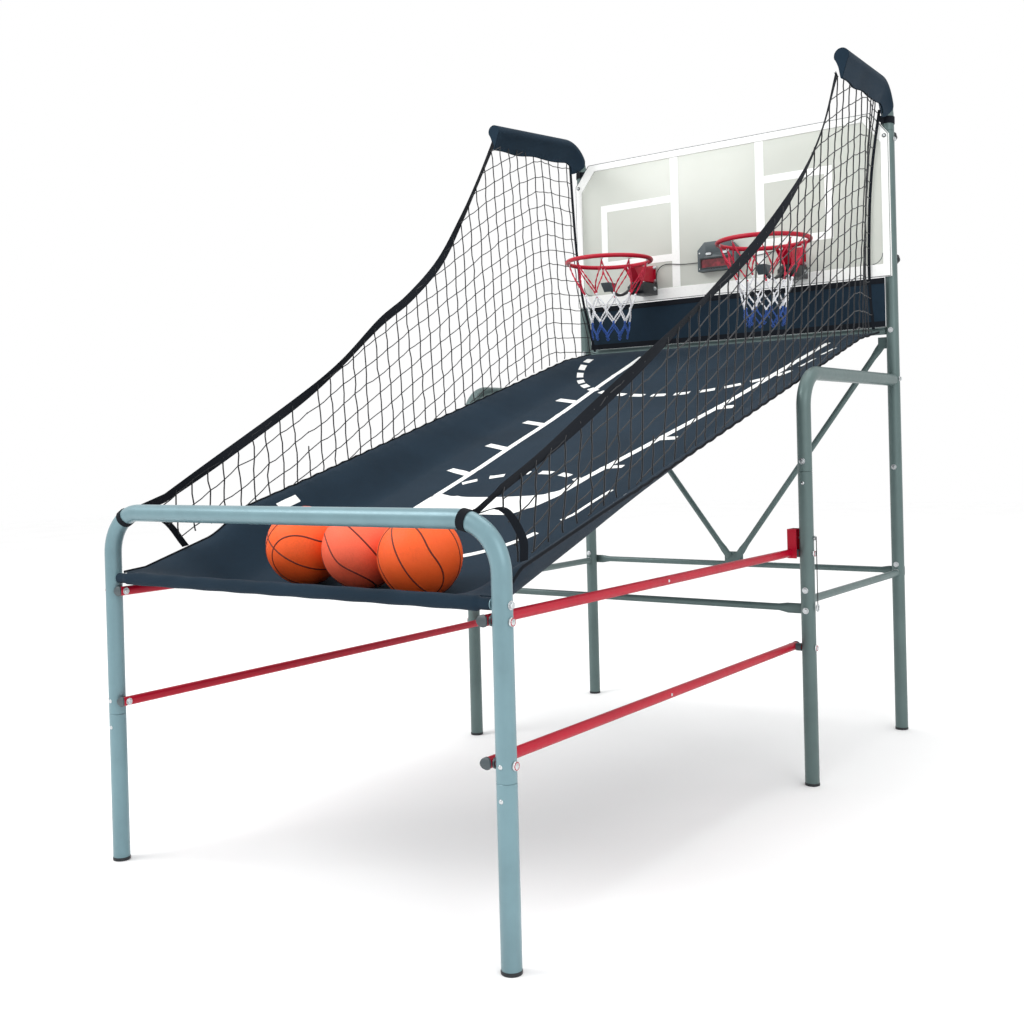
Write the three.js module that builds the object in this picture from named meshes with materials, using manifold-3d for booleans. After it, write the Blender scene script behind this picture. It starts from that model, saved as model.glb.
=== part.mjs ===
// Basketball hoop machine: a folding steel frame with a slung fabric ball ramp,
// two hoops on a backboard, side nets and three balls. Millimetres, +Z up, -Y is the player's side.
import * as THREE from 'three';
import { mergeVertices } from 'three/addons/utils/BufferGeometryUtils.js';
import Module from 'manifold-3d';

const wasm = await Module();
wasm.setup();

// ---- driving dimensions -------------------------------------------------------------------
const GAP = 0.3;                 // clearance between touching pieces
const FRONT_Y = -1057;           // front legs
const SIDE_Y = 306;              // side legs, 1363 behind the front legs
const REAR_Y = 1037;             // tall posts, 2094 behind the front legs
const FRONT_X = 550;             // half distance between the front legs
const SIDE_X = 561;              // half distance between the side legs
const REAR_X = 566;              // half distance between the posts

const LEG_R = 19;                // 38 mm frame tube
const WALL = 1.5;
const SPIGOT_R = 16.9;
const SPIGOT_LEN = 60;
const FLOOR_T = 4;               // thickness of the closed foot of a leg
const BEND_R = 95;
const BEND_STEPS = 7;
const TUBE_SIDES = 16;

const BOW_Z = 795;               // front top bar
const FRONT_SEAM_Z = 335;
const SIDE_SEAM_Z = 835;
const J_Z = 1099;                // side leg's horizontal run
const POST_TOP_Z = 1880;
const ARM_REAR_Z = 2015;          // the arms fall a little towards their tips
const ARM_TIP_Z = 1987;
const ARM_BEND_R = 100;
const ARM_TIP_Y = 545;
const ARM_TIP_X = 602;

const BRACE_R = 9.5;             // 19 mm crossbars and braces
const SIDE_RAIL_R = 10.5;
const SIDE_RAIL_Z = 493;
const CROSS_FRONT_Z = 466;
const CROSS_REAR_Z = 497;
const BRACE_FOOT = [14, 522];    // x and z where a V brace starts, beside the centre line
const BRACE_HEAD = [536, 1222];
const TOP_BAR_R = 12.5;          // bar that carries the ramp's upper edge
const TOP_BAR_Z = 1256;

const RAIL_R = 10.5;              // red folding rails
const RAIL_X = 516;
const RAIL_UP_Z = 617;
const RAIL_LOW_Z = 366;
const RAIL_REAR_END = 22;        // how far a rail runs past the side leg's centre
const RAIL_NOSE_R = 17.3;        // round front end of a rail, which turns just under the tray tube
const PIVOT_R = 4.5;
const PIVOT_HOLE_R = 4.9;
const PIVOT_HEAD_R = 7.5;
const PIVOT_HEAD_T = 4;
const CHANNEL = { x0: 513, x1: 538, front: 16, rear: 24, top: 682, bottom: 604, t: 3 };

const LOCK_Z = 658;
const LOCK_Y = SIDE_Y + 2;
const LOCK_R = 3.5;
const LOCK_HOLE_R = 4;
const LANYARD_R = 1.25;
const LANYARD_LEN = 178;
const LANYARD_RING_R = 8;

const TRAY_Z = 646;
const TRAY_R = 11;
const TRAY_SLEEVE_R = 14;

const BOARD = { halfW: 576, z0: 1423, z1: 1940, frontY: 1007, t: 10.5, chamferX: 56, chamferZ: 72 };
const BORDER = { side: 25, bottom: 40 };
const PANEL_T = 5;

const HOOP_X = 276;
const HOOP_Y = 728;
const HOOP_Z = 1532;
const HOOP_R = 140;              // to the centre of the ring's round bar
const HOOP_BAR_R = 7;
const NET_TOP_Z = 1523;
const NET_BOTTOM_Z = 1274;
const NET_T = 2.5;

const BRACKET = { halfW: 17.5, plateHalfW: 25, bottom: 1482, nose: 1524, t: 3 };   // hoop bracket
const SENSOR = { halfW: 30, frontY: 900, z0: 1441, z1: 1480 };                    // switch box
const PADDLE_PIVOT = { y: 890, z: 1468 };
const PADDLE_Y = 700;            // front of the lever's flag
const PADDLE_Z = 1459;           // top of the flag
const SCORE = { halfW: 71, z0: 1500, z1: 1598, depth: 34, chamfer: 26 };
const SCORE_WINDOW = { halfW: 58, z0: 1512, z1: 1540 };
const BUTTON = { x: 29, z: 1557, halfLength: 10, radius: 4, proud: 4 };

const APRON = { left: 522, right: 556 };   // reach of the cloth under the board
const RAMP_HALF = 530;
const RAMP_T = 3;
const RAMP_SLOPE = 0.35;         // taut run from the top bar down to the balls
const POCKET_SLOPE = 0.276;      // short run from the tray tube down to the balls
const POCKET_SOFT = 5;           // roundness of the pocket the balls lie in
const RAMP_EDGE_RISE = 22;       // how far its side edges are held above that line
const NET_X = 534;                // at the height of the side leg's horizontal run
const NET_LEAN = 0.062;          // the nets spread outwards towards the arms
const SIDE_NET_T = 3;

const BALL_R = 89;
const BALL_WALL = 4;
const BALL_SIDES = 18;
const BALLS = {                  // centres; they lie in the pocket, the left two a little up its back
  left: { x: -158.6, y: -831, z: 711.5 },
  middle: { x: 19.7, y: -836, z: 709.7 },
  right: { x: 197.5, y: -857, z: 702 },
};

// ---- materials ----------------------------------------------------------------------------
const FINISHES = {
  paint_light: { color: 0x8fa0a6, roughness: 0.42, metalness: 0.35 },
  paint_dark: { color: 0x66777a, roughness: 0.45, metalness: 0.35 },
  paint_red: { color: 0xb01832, roughness: 0.4, metalness: 0.15 },
  board_white: { color: 0xf2f3f1, roughness: 0.5, metalness: 0.0 },
  board_panel: { color: 0xd5dad3, roughness: 0.35, metalness: 0.0 },
  fabric_navy: { color: 0x26323f, roughness: 0.9, metalness: 0.0 },
  net_black: { color: 0x15171a, roughness: 0.9, metalness: 0.0 },
  hoop_cord: { color: 0xe9e9ee, roughness: 0.85, metalness: 0.0 },
  plastic_black: { color: 0x1d2124, roughness: 0.5, metalness: 0.0 },
  plastic_grey: { color: 0x4a5456, roughness: 0.5, metalness: 0.0 },
  plastic_light: { color: 0xb9bfbf, roughness: 0.4, metalness: 0.0 },
  window_red: { color: 0x6e1219, roughness: 0.15, metalness: 0.0 },
  zinc_steel: { color: 0xb9bdc0, roughness: 0.3, metalness: 0.9 },
  ball_orange: { color: 0xf0622c, roughness: 0.65, metalness: 0.0 },
  ball_salmon: { color: 0xe9805f, roughness: 0.65, metalness: 0.0 },
};

const machine = new THREE.Group();
machine.name = 'basketball_hoop_machine';

function addPiece(name, finish, shape) {
  const mesh = new THREE.Mesh(shape, new THREE.MeshStandardMaterial(FINISHES[finish]));
  mesh.name = name;
  mesh.material.name = finish;
  machine.add(mesh);
}

// ---- helpers ------------------------------------------------------------------------------
const v3 = (x, y, z) => new THREE.Vector3(x, y, z);
const SIDES = [['left', -1], ['right', 1]];

function toSolid(geometry) {
  const bare = geometry.clone();
  bare.deleteAttribute('normal');
  bare.deleteAttribute('uv');
  const merged = mergeVertices(bare, 1e-3);
  return new wasm.Manifold(new wasm.Mesh({
    numProp: 3,
    vertProperties: new Float32Array(merged.attributes.position.array),
    triVerts: new Uint32Array(merged.index.array),
  }));
}

function toGeometry(solid) {
  const mesh = solid.getMesh();
  const geometry = new THREE.BufferGeometry();
  geometry.setAttribute('position', new THREE.BufferAttribute(mesh.vertProperties, 3));
  geometry.setIndex(new THREE.BufferAttribute(mesh.triVerts, 1));
  return geometry;
}

function join(...shapes) {
  return toGeometry(shapes.map(toSolid).reduce((whole, next) => whole.add(next)));
}

function cut(shape, ...tools) {
  return toGeometry(tools.map(toSolid).reduce((rest, tool) => rest.subtract(tool), toSolid(shape)));
}

// A route through given points, one cross-section at each.
class Route extends THREE.Curve {
  constructor(points) {
    super();
    this.points = points;
  }
  getPoint(t) {
    const place = Math.min(t, 1) * (this.points.length - 1);
    const i = Math.min(Math.floor(place), this.points.length - 2);
    return this.points[i].clone().lerp(this.points[i + 1], place - i);
  }
  getPointAt(u) {
    return this.getPoint(u);
  }
  getTangentAt(u) {
    const i = Math.round(u * (this.points.length - 1));
    const ahead = this.points[Math.min(i + 1, this.points.length - 1)];
    const behind = this.points[Math.max(i - 1, 0)];
    return ahead.clone().sub(behind).normalize();
  }
}

// Straight runs between corners, each corner rounded to the bend radius.
function bentRoute(corners, radius, steps) {
  const points = [corners[0]];
  for (let i = 1; i < corners.length - 1; i += 1) {
    const back = corners[i - 1].clone().sub(corners[i]).normalize();
    const on = corners[i + 1].clone().sub(corners[i]).normalize();
    const half = back.angleTo(on) / 2;
    const trim = radius / Math.tan(half);
    const middle = back.clone().add(on).normalize();
    const centre = corners[i].clone().addScaledVector(middle, radius / Math.sin(half));
    const from = corners[i].clone().addScaledVector(back, trim).sub(centre);
    const axis = from.clone().cross(corners[i].clone().addScaledVector(on, trim).sub(centre)).normalize();
    for (let k = 0; k <= steps; k += 1) {
      const swing = from.clone().applyAxisAngle(axis, (Math.PI - 2 * half) * k / steps);
      points.push(centre.clone().add(swing));
    }
  }
  points.push(corners[corners.length - 1]);
  return points;
}

function pipe(points, radius, wall, sides = TUBE_SIDES) {
  const section = new THREE.Shape().absarc(0, 0, radius, 0, Math.PI * 2, false);
  if (wall > 0) {
    section.holes.push(new THREE.Path().absarc(0, 0, radius - wall, 0, Math.PI * 2, true));
  }
  return new THREE.ExtrudeGeometry(section, {
    steps: points.length - 1,
    curveSegments: sides / 2,
    extrudePath: new Route(points),
  });
}

function rod(from, to, radius, sides = TUBE_SIDES) {
  const along = to.clone().sub(from);
  const geometry = new THREE.CylinderGeometry(radius, radius, along.length(), sides);
  geometry.applyQuaternion(new THREE.Quaternion().setFromUnitVectors(v3(0, 1, 0), along.normalize()));
  const middle = from.clone().add(to).multiplyScalar(0.5);
  return geometry.translate(middle.x, middle.y, middle.z);
}

function block(x0, x1, y0, y1, z0, z1) {
  const geometry = new THREE.BoxGeometry(Math.abs(x1 - x0), y1 - y0, z1 - z0);
  return geometry.translate((x0 + x1) / 2, (y0 + y1) / 2, (z0 + z1) / 2);
}

// Turned shape about a vertical axis; the profile is [radius, height] pairs.
function turned(profile, x, y, sides = TUBE_SIDES) {
  const points = profile.map(([r, z]) => new THREE.Vector2(r, z));
  const geometry = new THREE.LatheGeometry(points, sides);
  geometry.rotateX(Math.PI / 2);
  return geometry.translate(x, y, 0);
}

function outlineShape(outline, hole) {
  const shape = new THREE.Shape(outline.map(([a, b]) => new THREE.Vector2(a, b)));
  if (hole) {
    shape.holes.push(new THREE.Path(hole.map(([a, b]) => new THREE.Vector2(a, b))));
  }
  return shape;
}

// Sheet standing across the machine: outline in x and z, from frontY backwards.
function boardPlate(outline, hole, frontY, thickness) {
  const geometry = new THREE.ExtrudeGeometry(outlineShape(outline, hole), {
    depth: thickness, bevelEnabled: false,
  });
  geometry.rotateX(Math.PI / 2);
  return geometry.translate(0, frontY + thickness, 0);
}

// Sheet standing along the machine: outline in y and z, centred on x.
function sidePlate(outline, x, thickness) {
  const geometry = new THREE.ExtrudeGeometry(outlineShape(outline), {
    depth: thickness, bevelEnabled: false,
  });
  const turn = new THREE.Matrix4().set(0, 0, 1, 0, 1, 0, 0, 0, 0, 1, 0, 0, 0, 0, 0, 1);
  return geometry.applyMatrix4(turn).translate(x - thickness / 2, 0, 0);
}

// A leg's lower length: closed foot, open top with a necked spigot.
function footedTube(seamZ, x, y) {
  const bore = LEG_R - WALL;
  const neck = SPIGOT_R - WALL;
  return turned([
    [0, 0], [LEG_R, 0], [LEG_R, seamZ - GAP], [SPIGOT_R, seamZ - GAP], [SPIGOT_R, seamZ + SPIGOT_LEN],
    [neck, seamZ + SPIGOT_LEN], [neck, seamZ - 12], [bore, seamZ - 16], [bore, FLOOR_T], [0, FLOOR_T],
  ], x, y);
}

function crossHole(x, y, z, radius) {
  const reach = LEG_R + 6;
  return rod(v3(x - reach, y, z), v3(x + reach, y, z), radius);
}

// ---- rear frame ---------------------------------------------------------------------------
function addPosts() {
  for (const [side, s] of SIDES) {
    const bore = LEG_R - WALL;
    addPiece(`rear_post_${side}`, 'paint_dark', turned([
      [0, 0], [LEG_R, 0], [LEG_R, POST_TOP_Z - GAP], [bore, POST_TOP_Z - GAP],
      [bore, FLOOR_T], [0, FLOOR_T],
    ], s * REAR_X, REAR_Y));
    addPiece(`net_arm_${side}`, 'paint_dark', netArm(s));
  }
}

function armCorners(s) {
  return [
    v3(s * REAR_X, REAR_Y, POST_TOP_Z),
    v3(s * REAR_X, REAR_Y, ARM_REAR_Z),
    v3(s * ARM_TIP_X, ARM_TIP_Y, ARM_TIP_Z),
  ];
}

function netArm(s) {
  const bore = LEG_R - WALL;
  const neck = SPIGOT_R - WALL;
  const spigot = turned([
    [neck, POST_TOP_Z - SPIGOT_LEN], [SPIGOT_R, POST_TOP_Z - SPIGOT_LEN], [SPIGOT_R, POST_TOP_Z + 1],
    [bore + WALL / 2, POST_TOP_Z + 1], [bore + WALL / 2, POST_TOP_Z + 4],
    [neck, POST_TOP_Z + 4], [neck, POST_TOP_Z - SPIGOT_LEN],
  ], s * REAR_X, REAR_Y);
  return join(pipe(bentRoute(armCorners(s), ARM_BEND_R, BEND_STEPS), LEG_R, WALL), spigot);
}

function addSideLegs() {
  for (const [side, s] of SIDES) {
    const route = bentRoute([
      v3(s * SIDE_X, SIDE_Y, SIDE_SEAM_Z),
      v3(s * SIDE_X, SIDE_Y, J_Z),
      v3(s * REAR_X, REAR_Y - LEG_R - GAP, J_Z),
    ], BEND_R, BEND_STEPS);
    addPiece(`side_leg_upper_${side}`, 'paint_dark', pipe(route, LEG_R, WALL));
    addPiece(`side_leg_lower_${side}`, 'paint_dark', cut(
      footedTube(SIDE_SEAM_Z, s * SIDE_X, SIDE_Y),
      crossHole(s * SIDE_X, SIDE_Y, RAIL_UP_Z, PIVOT_HOLE_R),
      crossHole(s * SIDE_X, SIDE_Y, RAIL_LOW_Z, PIVOT_HOLE_R),
      crossHole(s * SIDE_X, LOCK_Y, LOCK_Z, LOCK_HOLE_R),
    ));
    addPiece(`side_rail_${side}`, 'paint_dark', pipe([
      v3(s * SIDE_X, SIDE_Y + LEG_R + GAP, SIDE_RAIL_Z),
      v3(s * REAR_X, REAR_Y - LEG_R - GAP, SIDE_RAIL_Z),
    ], SIDE_RAIL_R, WALL, 12));
  }
}

// Crossbar behind a pair of legs, its ends pressed flat where they are bolted on.
function crossbar(halfX, legY, z) {
  const flat = 46;
  const tab = 5;
  const face = legY + LEG_R + GAP;
  const y = face + BRACE_R;
  return join(
    rod(v3(-halfX + flat, y, z), v3(halfX - flat, y, z), BRACE_R, 12),
    block(-halfX - 14, -halfX + flat + 6, face, face + tab, z - 14, z + 14),
    block(halfX - flat - 6, halfX + 14, face, face + tab, z - 14, z + 14),
  );
}

function addCrossMembers() {
  addPiece('crossbar_front', 'paint_dark', crossbar(SIDE_X - 32, SIDE_Y, CROSS_FRONT_Z));
  addPiece('crossbar_rear', 'paint_dark', crossbar(REAR_X, REAR_Y, CROSS_REAR_Z));
  for (const [side, s] of SIDES) {
    addPiece(`brace_${side}`, 'paint_dark', rod(
      v3(s * BRACE_FOOT[0], REAR_Y + BRACE_R - 1, BRACE_FOOT[1]),
      v3(s * BRACE_HEAD[0], REAR_Y + BRACE_R - 1, BRACE_HEAD[1]), BRACE_R, 12));
  }
  const reach = REAR_X - LEG_R - GAP;
  addPiece('ramp_top_bar', 'paint_dark', pipe([
    v3(-reach, REAR_Y, TOP_BAR_Z), v3(reach, REAR_Y, TOP_BAR_Z),
  ], TOP_BAR_R, WALL));
}

// ---- backboard, hoops and scoring ---------------------------------------------------------
function boardOutline(inset, insetBottom) {
  const w = BOARD.halfW - inset;
  const cx = BOARD.chamferX;
  const cz = BOARD.chamferZ;
  const top = BOARD.z1 - inset;
  const bottom = BOARD.z0 + insetBottom;
  return [[-w, bottom], [w, bottom], [w, top - cz], [w - cx, top], [-w + cx, top], [-w, top - cz]];
}

function addBoard() {
  const opening = boardOutline(BORDER.side, BORDER.bottom);
  const filling = boardOutline(BORDER.side + GAP, BORDER.bottom + GAP);
  addPiece('board_border', 'board_white',
    boardPlate(boardOutline(0, 0), opening, BOARD.frontY, BOARD.t));
  addPiece('board_panel', 'board_panel', boardPlate(filling, null, BOARD.frontY + 2, PANEL_T));
}

function ring(x, y, z, radius, barRadius, around, sides) {
  return new THREE.TorusGeometry(radius, barRadius, sides, around).translate(x, y, z);
}

// Ring, and behind it a folded bracket of gussets, top and nose plates that is bolted to the board.
function rim(x) {
  const plateFront = BOARD.frontY - GAP - BRACKET.t;
  const ringBack = HOOP_Y + HOOP_R - 6;
  const top = HOOP_Z + 3;
  const noseFoot = plateFront - 94;
  const gusset = (gx) => sidePlate([
    [ringBack, top], [plateFront + 1, top], [plateFront + 1, BRACKET.bottom + 6],
    [noseFoot, BRACKET.bottom], [ringBack, BRACKET.nose],
  ], gx, BRACKET.t);
  const nose = sidePlate([
    [ringBack, BRACKET.nose], [ringBack + 3, BRACKET.nose + 3],
    [noseFoot + 4, BRACKET.bottom + 3], [noseFoot, BRACKET.bottom],
  ], x, 2 * BRACKET.halfW);
  const half = BRACKET.halfW + BRACKET.t / 2;
  return join(
    ring(x, HOOP_Y, HOOP_Z, HOOP_R, HOOP_BAR_R, 32, 8),
    gusset(x - BRACKET.halfW),
    gusset(x + BRACKET.halfW),
    nose,
    block(x - half, x + half, ringBack - 2, plateFront + 1, top - 2, top + 1),
    block(x - BRACKET.plateHalfW, x + BRACKET.plateHalfW, plateFront, plateFront + BRACKET.t,
      BRACKET.bottom, HOOP_Z + 14),
  );
}

function hoopNet(x) {
  const outer = [[58, NET_BOTTOM_Z], [62, 1335], [76, 1400], [100, 1470], [124, NET_TOP_Z]];
  const inner = outer.map(([r, z]) => [r - NET_T, z]).reverse();
  const profile = [...outer, ...inner, outer[0]];
  return turned(profile, x, HOOP_Y, 24);
}

// Switch box under the bracket, with two ears that carry the lever.
function sensorBox(x) {
  const back = BOARD.frontY - GAP;
  const body = sidePlate([
    [SENSOR.frontY, SENSOR.z0 + 8], [SENSOR.frontY + 10, SENSOR.z0], [back, SENSOR.z0],
    [back, SENSOR.z1], [SENSOR.frontY + 22, SENSOR.z1], [SENSOR.frontY, SENSOR.z1 - 14],
  ], x, 2 * SENSOR.halfW);
  const ears = [-7.5, 7.5].map((dx) => cut(
    sidePlate([
      [PADDLE_PIVOT.y - 7, PADDLE_PIVOT.z - 7], [SENSOR.frontY + 1, PADDLE_PIVOT.z - 12],
      [SENSOR.frontY + 8, PADDLE_PIVOT.z + 4], [PADDLE_PIVOT.y - 7, PADDLE_PIVOT.z + 7],
    ], x + dx, 4),
    rod(v3(x + dx - 4, PADDLE_PIVOT.y, PADDLE_PIVOT.z), v3(x + dx + 4, PADDLE_PIVOT.y, PADDLE_PIVOT.z),
      2.9, 10),
  ));
  return join(body, ...ears);
}

// Lever that a falling ball pushes down: a three-cornered flag, a curved arm and its cross shaft.
function paddle(x) {
  const curve = new THREE.QuadraticBezierCurve(
    new THREE.Vector2(PADDLE_Y + 28, PADDLE_Z - 7),
    new THREE.Vector2(PADDLE_Y + 81, PADDLE_Z - 69),
    new THREE.Vector2(PADDLE_PIVOT.y - 1, PADDLE_PIVOT.z));
  const edge = (side) => curve.getPoints(8).map((p, i) => {
    const along = curve.getTangent(i / 8);
    return [p.x - side * 4.5 * along.y, p.y + side * 4.5 * along.x];
  });
  const arm = sidePlate([...edge(-1), ...edge(1).reverse()], x, 9);
  const flag = sidePlate([
    [PADDLE_Y - 4, PADDLE_Z], [PADDLE_Y + 44, PADDLE_Z], [PADDLE_Y + 34, PADDLE_Z - 18],
    [PADDLE_Y + 20, PADDLE_Z - 30],
  ], x, 34);
  const shaft = rod(v3(x - 9.5, PADDLE_PIVOT.y, PADDLE_PIVOT.z),
    v3(x + 9.5, PADDLE_PIVOT.y, PADDLE_PIVOT.z), 2.5, 10);
  return join(arm, flag, shaft);
}

function addHoops() {
  for (const [side, s] of SIDES) {
    const x = s * HOOP_X;
    addPiece(`rim_${side}`, 'paint_red', rim(x));
    addPiece(`hoop_net_${side}`, 'hoop_cord', cut(hoopNet(x),
      block(x - 9, x + 9, HOOP_Y + 40, HOOP_Y + HOOP_R, PADDLE_Z - 74, PADDLE_Z + 2)));
    addPiece(`score_sensor_${side}`, 'plastic_black', sensorBox(x));
    addPiece(`score_paddle_${side}`, 'plastic_grey', paddle(x));
  }
}

function scoreOutline() {
  const w = SCORE.halfW;
  const c = SCORE.chamfer;
  return [[-w, SCORE.z0], [w, SCORE.z0], [w, SCORE.z1 - c], [w - c, SCORE.z1],
    [-w + c, SCORE.z1], [-w, SCORE.z1 - c]];
}

// Oblong push button lying along x, from frontY backwards.
function oblong(x, z, frontY, depth, halfLength, radius) {
  const run = halfLength - radius;
  const shape = new THREE.Shape();
  shape.absarc(run, 0, radius, -Math.PI / 2, Math.PI / 2, false);
  shape.absarc(-run, 0, radius, Math.PI / 2, 3 * Math.PI / 2, false);
  const geometry = new THREE.ExtrudeGeometry(shape, { depth, bevelEnabled: false, curveSegments: 8 });
  geometry.rotateX(Math.PI / 2);
  return geometry.translate(x, frontY + depth, z);
}

function addScoreUnit() {
  const front = BOARD.frontY - GAP - SCORE.depth;
  const { halfW, z0, z1 } = SCORE_WINDOW;
  const b = BUTTON;
  const sockets = SIDES.map(([, s]) => oblong(
    s * b.x, b.z, front - 1, 15, b.halfLength + 0.4, b.radius + 0.4));
  addPiece('score_housing', 'plastic_grey', cut(
    boardPlate(scoreOutline(), null, front, SCORE.depth),
    block(-halfW, halfW, front - 1, front + 6, z0, z1), ...sockets));
  addPiece('score_window', 'window_red',
    block(-halfW + GAP, halfW - GAP, front + 2, front + 6 - GAP, z0 + GAP, z1 - GAP));
  for (const [side, s] of SIDES) {
    addPiece(`score_button_${side}`, 'plastic_light',
      oblong(s * b.x, b.z, front - b.proud, b.proud + 9, b.halfLength, b.radius));
  }
}

// Thin lead along the board from the score unit's side to the top of a hoop's switch box.
function addLeads() {
  const route = [[SCORE.halfW + 0.4, 1536], [110, 1536.5], [140, 1537.5], [165, 1540],
    [188, 1543.5], [208, 1544.5], [224, 1541], [236, 1533], [244, 1522], [248, 1508], [249, 1494],
    [249, SENSOR.z1 + GAP]];
  for (const [side, s] of SIDES) {
    const points = route.map(([x, z]) => v3(s * x, BOARD.frontY - 4, z));
    addPiece(`lead_${side}`, 'plastic_black', pipe(points, 1.5, 0, 8));
  }
}

function addKnobs() {
  const profile = [[0, 0], [5, 0], [5, 8], [18, 9], [18, 22], [15, 24.7], [0, 24.7]];
  for (const [side, s] of SIDES) {
    for (const [level, z] of [['low', 1482], ['high', 1868]]) {
      const knob = turned(profile, 0, 0, 12);
      knob.rotateX(-Math.PI / 2);
      knob.translate(s * REAR_X, REAR_Y + LEG_R + GAP, z);
      addPiece(`board_knob_${level}_${side}`, 'plastic_black', knob);
    }
  }
}

// ---- soft goods ---------------------------------------------------------------------------
// Height of the ramp's cloth: a taut run, a pocket for the balls and side edges held up by the nets.
function rampZ(x, y) {
  const back = REAR_Y - 26;
  const run = y - FRONT_Y - TRAY_SLEEVE_R;
  const length = back - FRONT_Y - TRAY_SLEEVE_R;
  const t = THREE.MathUtils.clamp(run / length, 0, 1);
  const start = TRAY_Z + 11;
  const rear = TOP_BAR_Z - RAMP_SLOPE * (length - run);
  const front = start - POCKET_SLOPE * run;
  const floor = POCKET_SOFT * Math.log(Math.exp((rear - 600) / POCKET_SOFT)
    + Math.exp((front - 600) / POCKET_SOFT)) + 600;
  const ends = Math.min(1, t / 0.08, (1 - t) / 0.08);
  const edge = THREE.MathUtils.smoothstep(Math.abs(x) / RAMP_HALF, 0.7, 1);
  const rim = THREE.MathUtils.lerp(start, TOP_BAR_Z, t) + RAMP_EDGE_RISE * ends;
  return THREE.MathUtils.lerp(floor, rim, edge);
}

function rampSheet() {
  const y0 = FRONT_Y + TRAY_SLEEVE_R + 1;
  const y1 = REAR_Y - 26;
  const across = 20;
  const along = 30;
  const geometry = new THREE.BoxGeometry(2 * RAMP_HALF, y1 - y0, RAMP_T, across, along, 1);
  const place = geometry.attributes.position;
  for (let i = 0; i < place.count; i += 1) {
    const share = place.getY(i) / (y1 - y0) + 0.5;
    const y = y0 + (y1 - y0) * Math.pow(share, 1.8);    // finer towards the pocket
    place.setY(i, y);
    place.setZ(i, place.getZ(i) + rampZ(place.getX(i), y));
  }
  return geometry;
}

// Outline of a side net: rear edge, arm sleeve, hanging front edge, ramp edge.
function netOutline() {
  const rearY = REAR_Y - 44;
  const topZ = ARM_TIP_Z - 79;
  const frontEdge = [[560, topZ], [515, 1810], [420, 1690], [250, 1535], [80, 1405], [-130, 1270],
    [-400, 1110], [-680, 975], [-880, 880], [-1000, 815], [-1015, 778]];
  const rampEdge = [];
  const steps = 10;
  for (let i = 0; i <= steps; i += 1) {
    const y = THREE.MathUtils.lerp(-960, rearY, i / steps);
    rampEdge.push([y, rampZ(RAMP_HALF, y) + 8]);
  }
  return [[rearY, topZ - 30], [rearY - 30, topZ], ...frontEdge, ...rampEdge];
}

// Sleeve over a net arm: a deep fabric fold around the tube, hanging below it.
function armSleeve(s) {
  const lean = (ARM_TIP_X - REAR_X) / (REAR_Y - ARM_TIP_Y);
  const boardFront = BOARD.frontY - 3;
  const bendY = REAR_Y - ARM_BEND_R;
  const bendZ = ARM_REAR_Z - ARM_BEND_R - 5;
  const outerR = ARM_BEND_R + 25;
  const outline = [
    [ARM_TIP_Y - 6, ARM_TIP_Z - 65], [REAR_Y - 137, ARM_REAR_Z - 71], [REAR_Y - 96, ARM_REAR_Z - 77],
    [REAR_Y - 60, ARM_REAR_Z - 103], [boardFront, ARM_REAR_Z - 105], [boardFront, BOARD.z1 + 4],
  ];
  for (const degrees of [16, 30, 45, 60, 75]) {
    const a = THREE.MathUtils.degToRad(degrees);
    outline.push([bendY + outerR * Math.cos(a), bendZ + outerR * Math.sin(a)]);
  }
  outline.push([bendY - 6, ARM_REAR_Z + 17], [ARM_TIP_Y - 6, ARM_TIP_Z + 22]);
  const body = sidePlate(outline, 0, 46);
  const skew = new THREE.Matrix4().set(1, -s * lean, 0, s * (REAR_X + lean * REAR_Y),
    0, 1, 0, 0, 0, 0, 1, 0, 0, 0, 0, 1);
  const bore = bentRoute(armCorners(s), ARM_BEND_R, BEND_STEPS);
  return cut(body.applyMatrix4(skew), pipe(bore, LEG_R + 0.8, 0));
}

function addSoftGoods() {
  const apronBottom = TOP_BAR_Z + TOP_BAR_R + 3;
  addPiece('apron', 'fabric_navy', block(-APRON.left, APRON.right, BOARD.frontY - 6, BOARD.frontY - 3,
    apronBottom, BOARD.z0 - 4));
  addPiece('ramp_sheet', 'fabric_navy', rampSheet());
  for (const [side, s] of SIDES) {
    const lean = new THREE.Matrix4().set(1, 0, s * NET_LEAN, s * (NET_X - NET_LEAN * J_Z),
      0, 1, 0, 0, 0, 0, 1, 0, 0, 0, 0, 1);
    const net = sidePlate(netOutline(), 0, SIDE_NET_T).applyMatrix4(lean);
    addPiece(`side_net_${side}`, 'net_black', net);
    addPiece(`arm_sleeve_${side}`, 'fabric_navy', armSleeve(s));
  }
}

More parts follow.
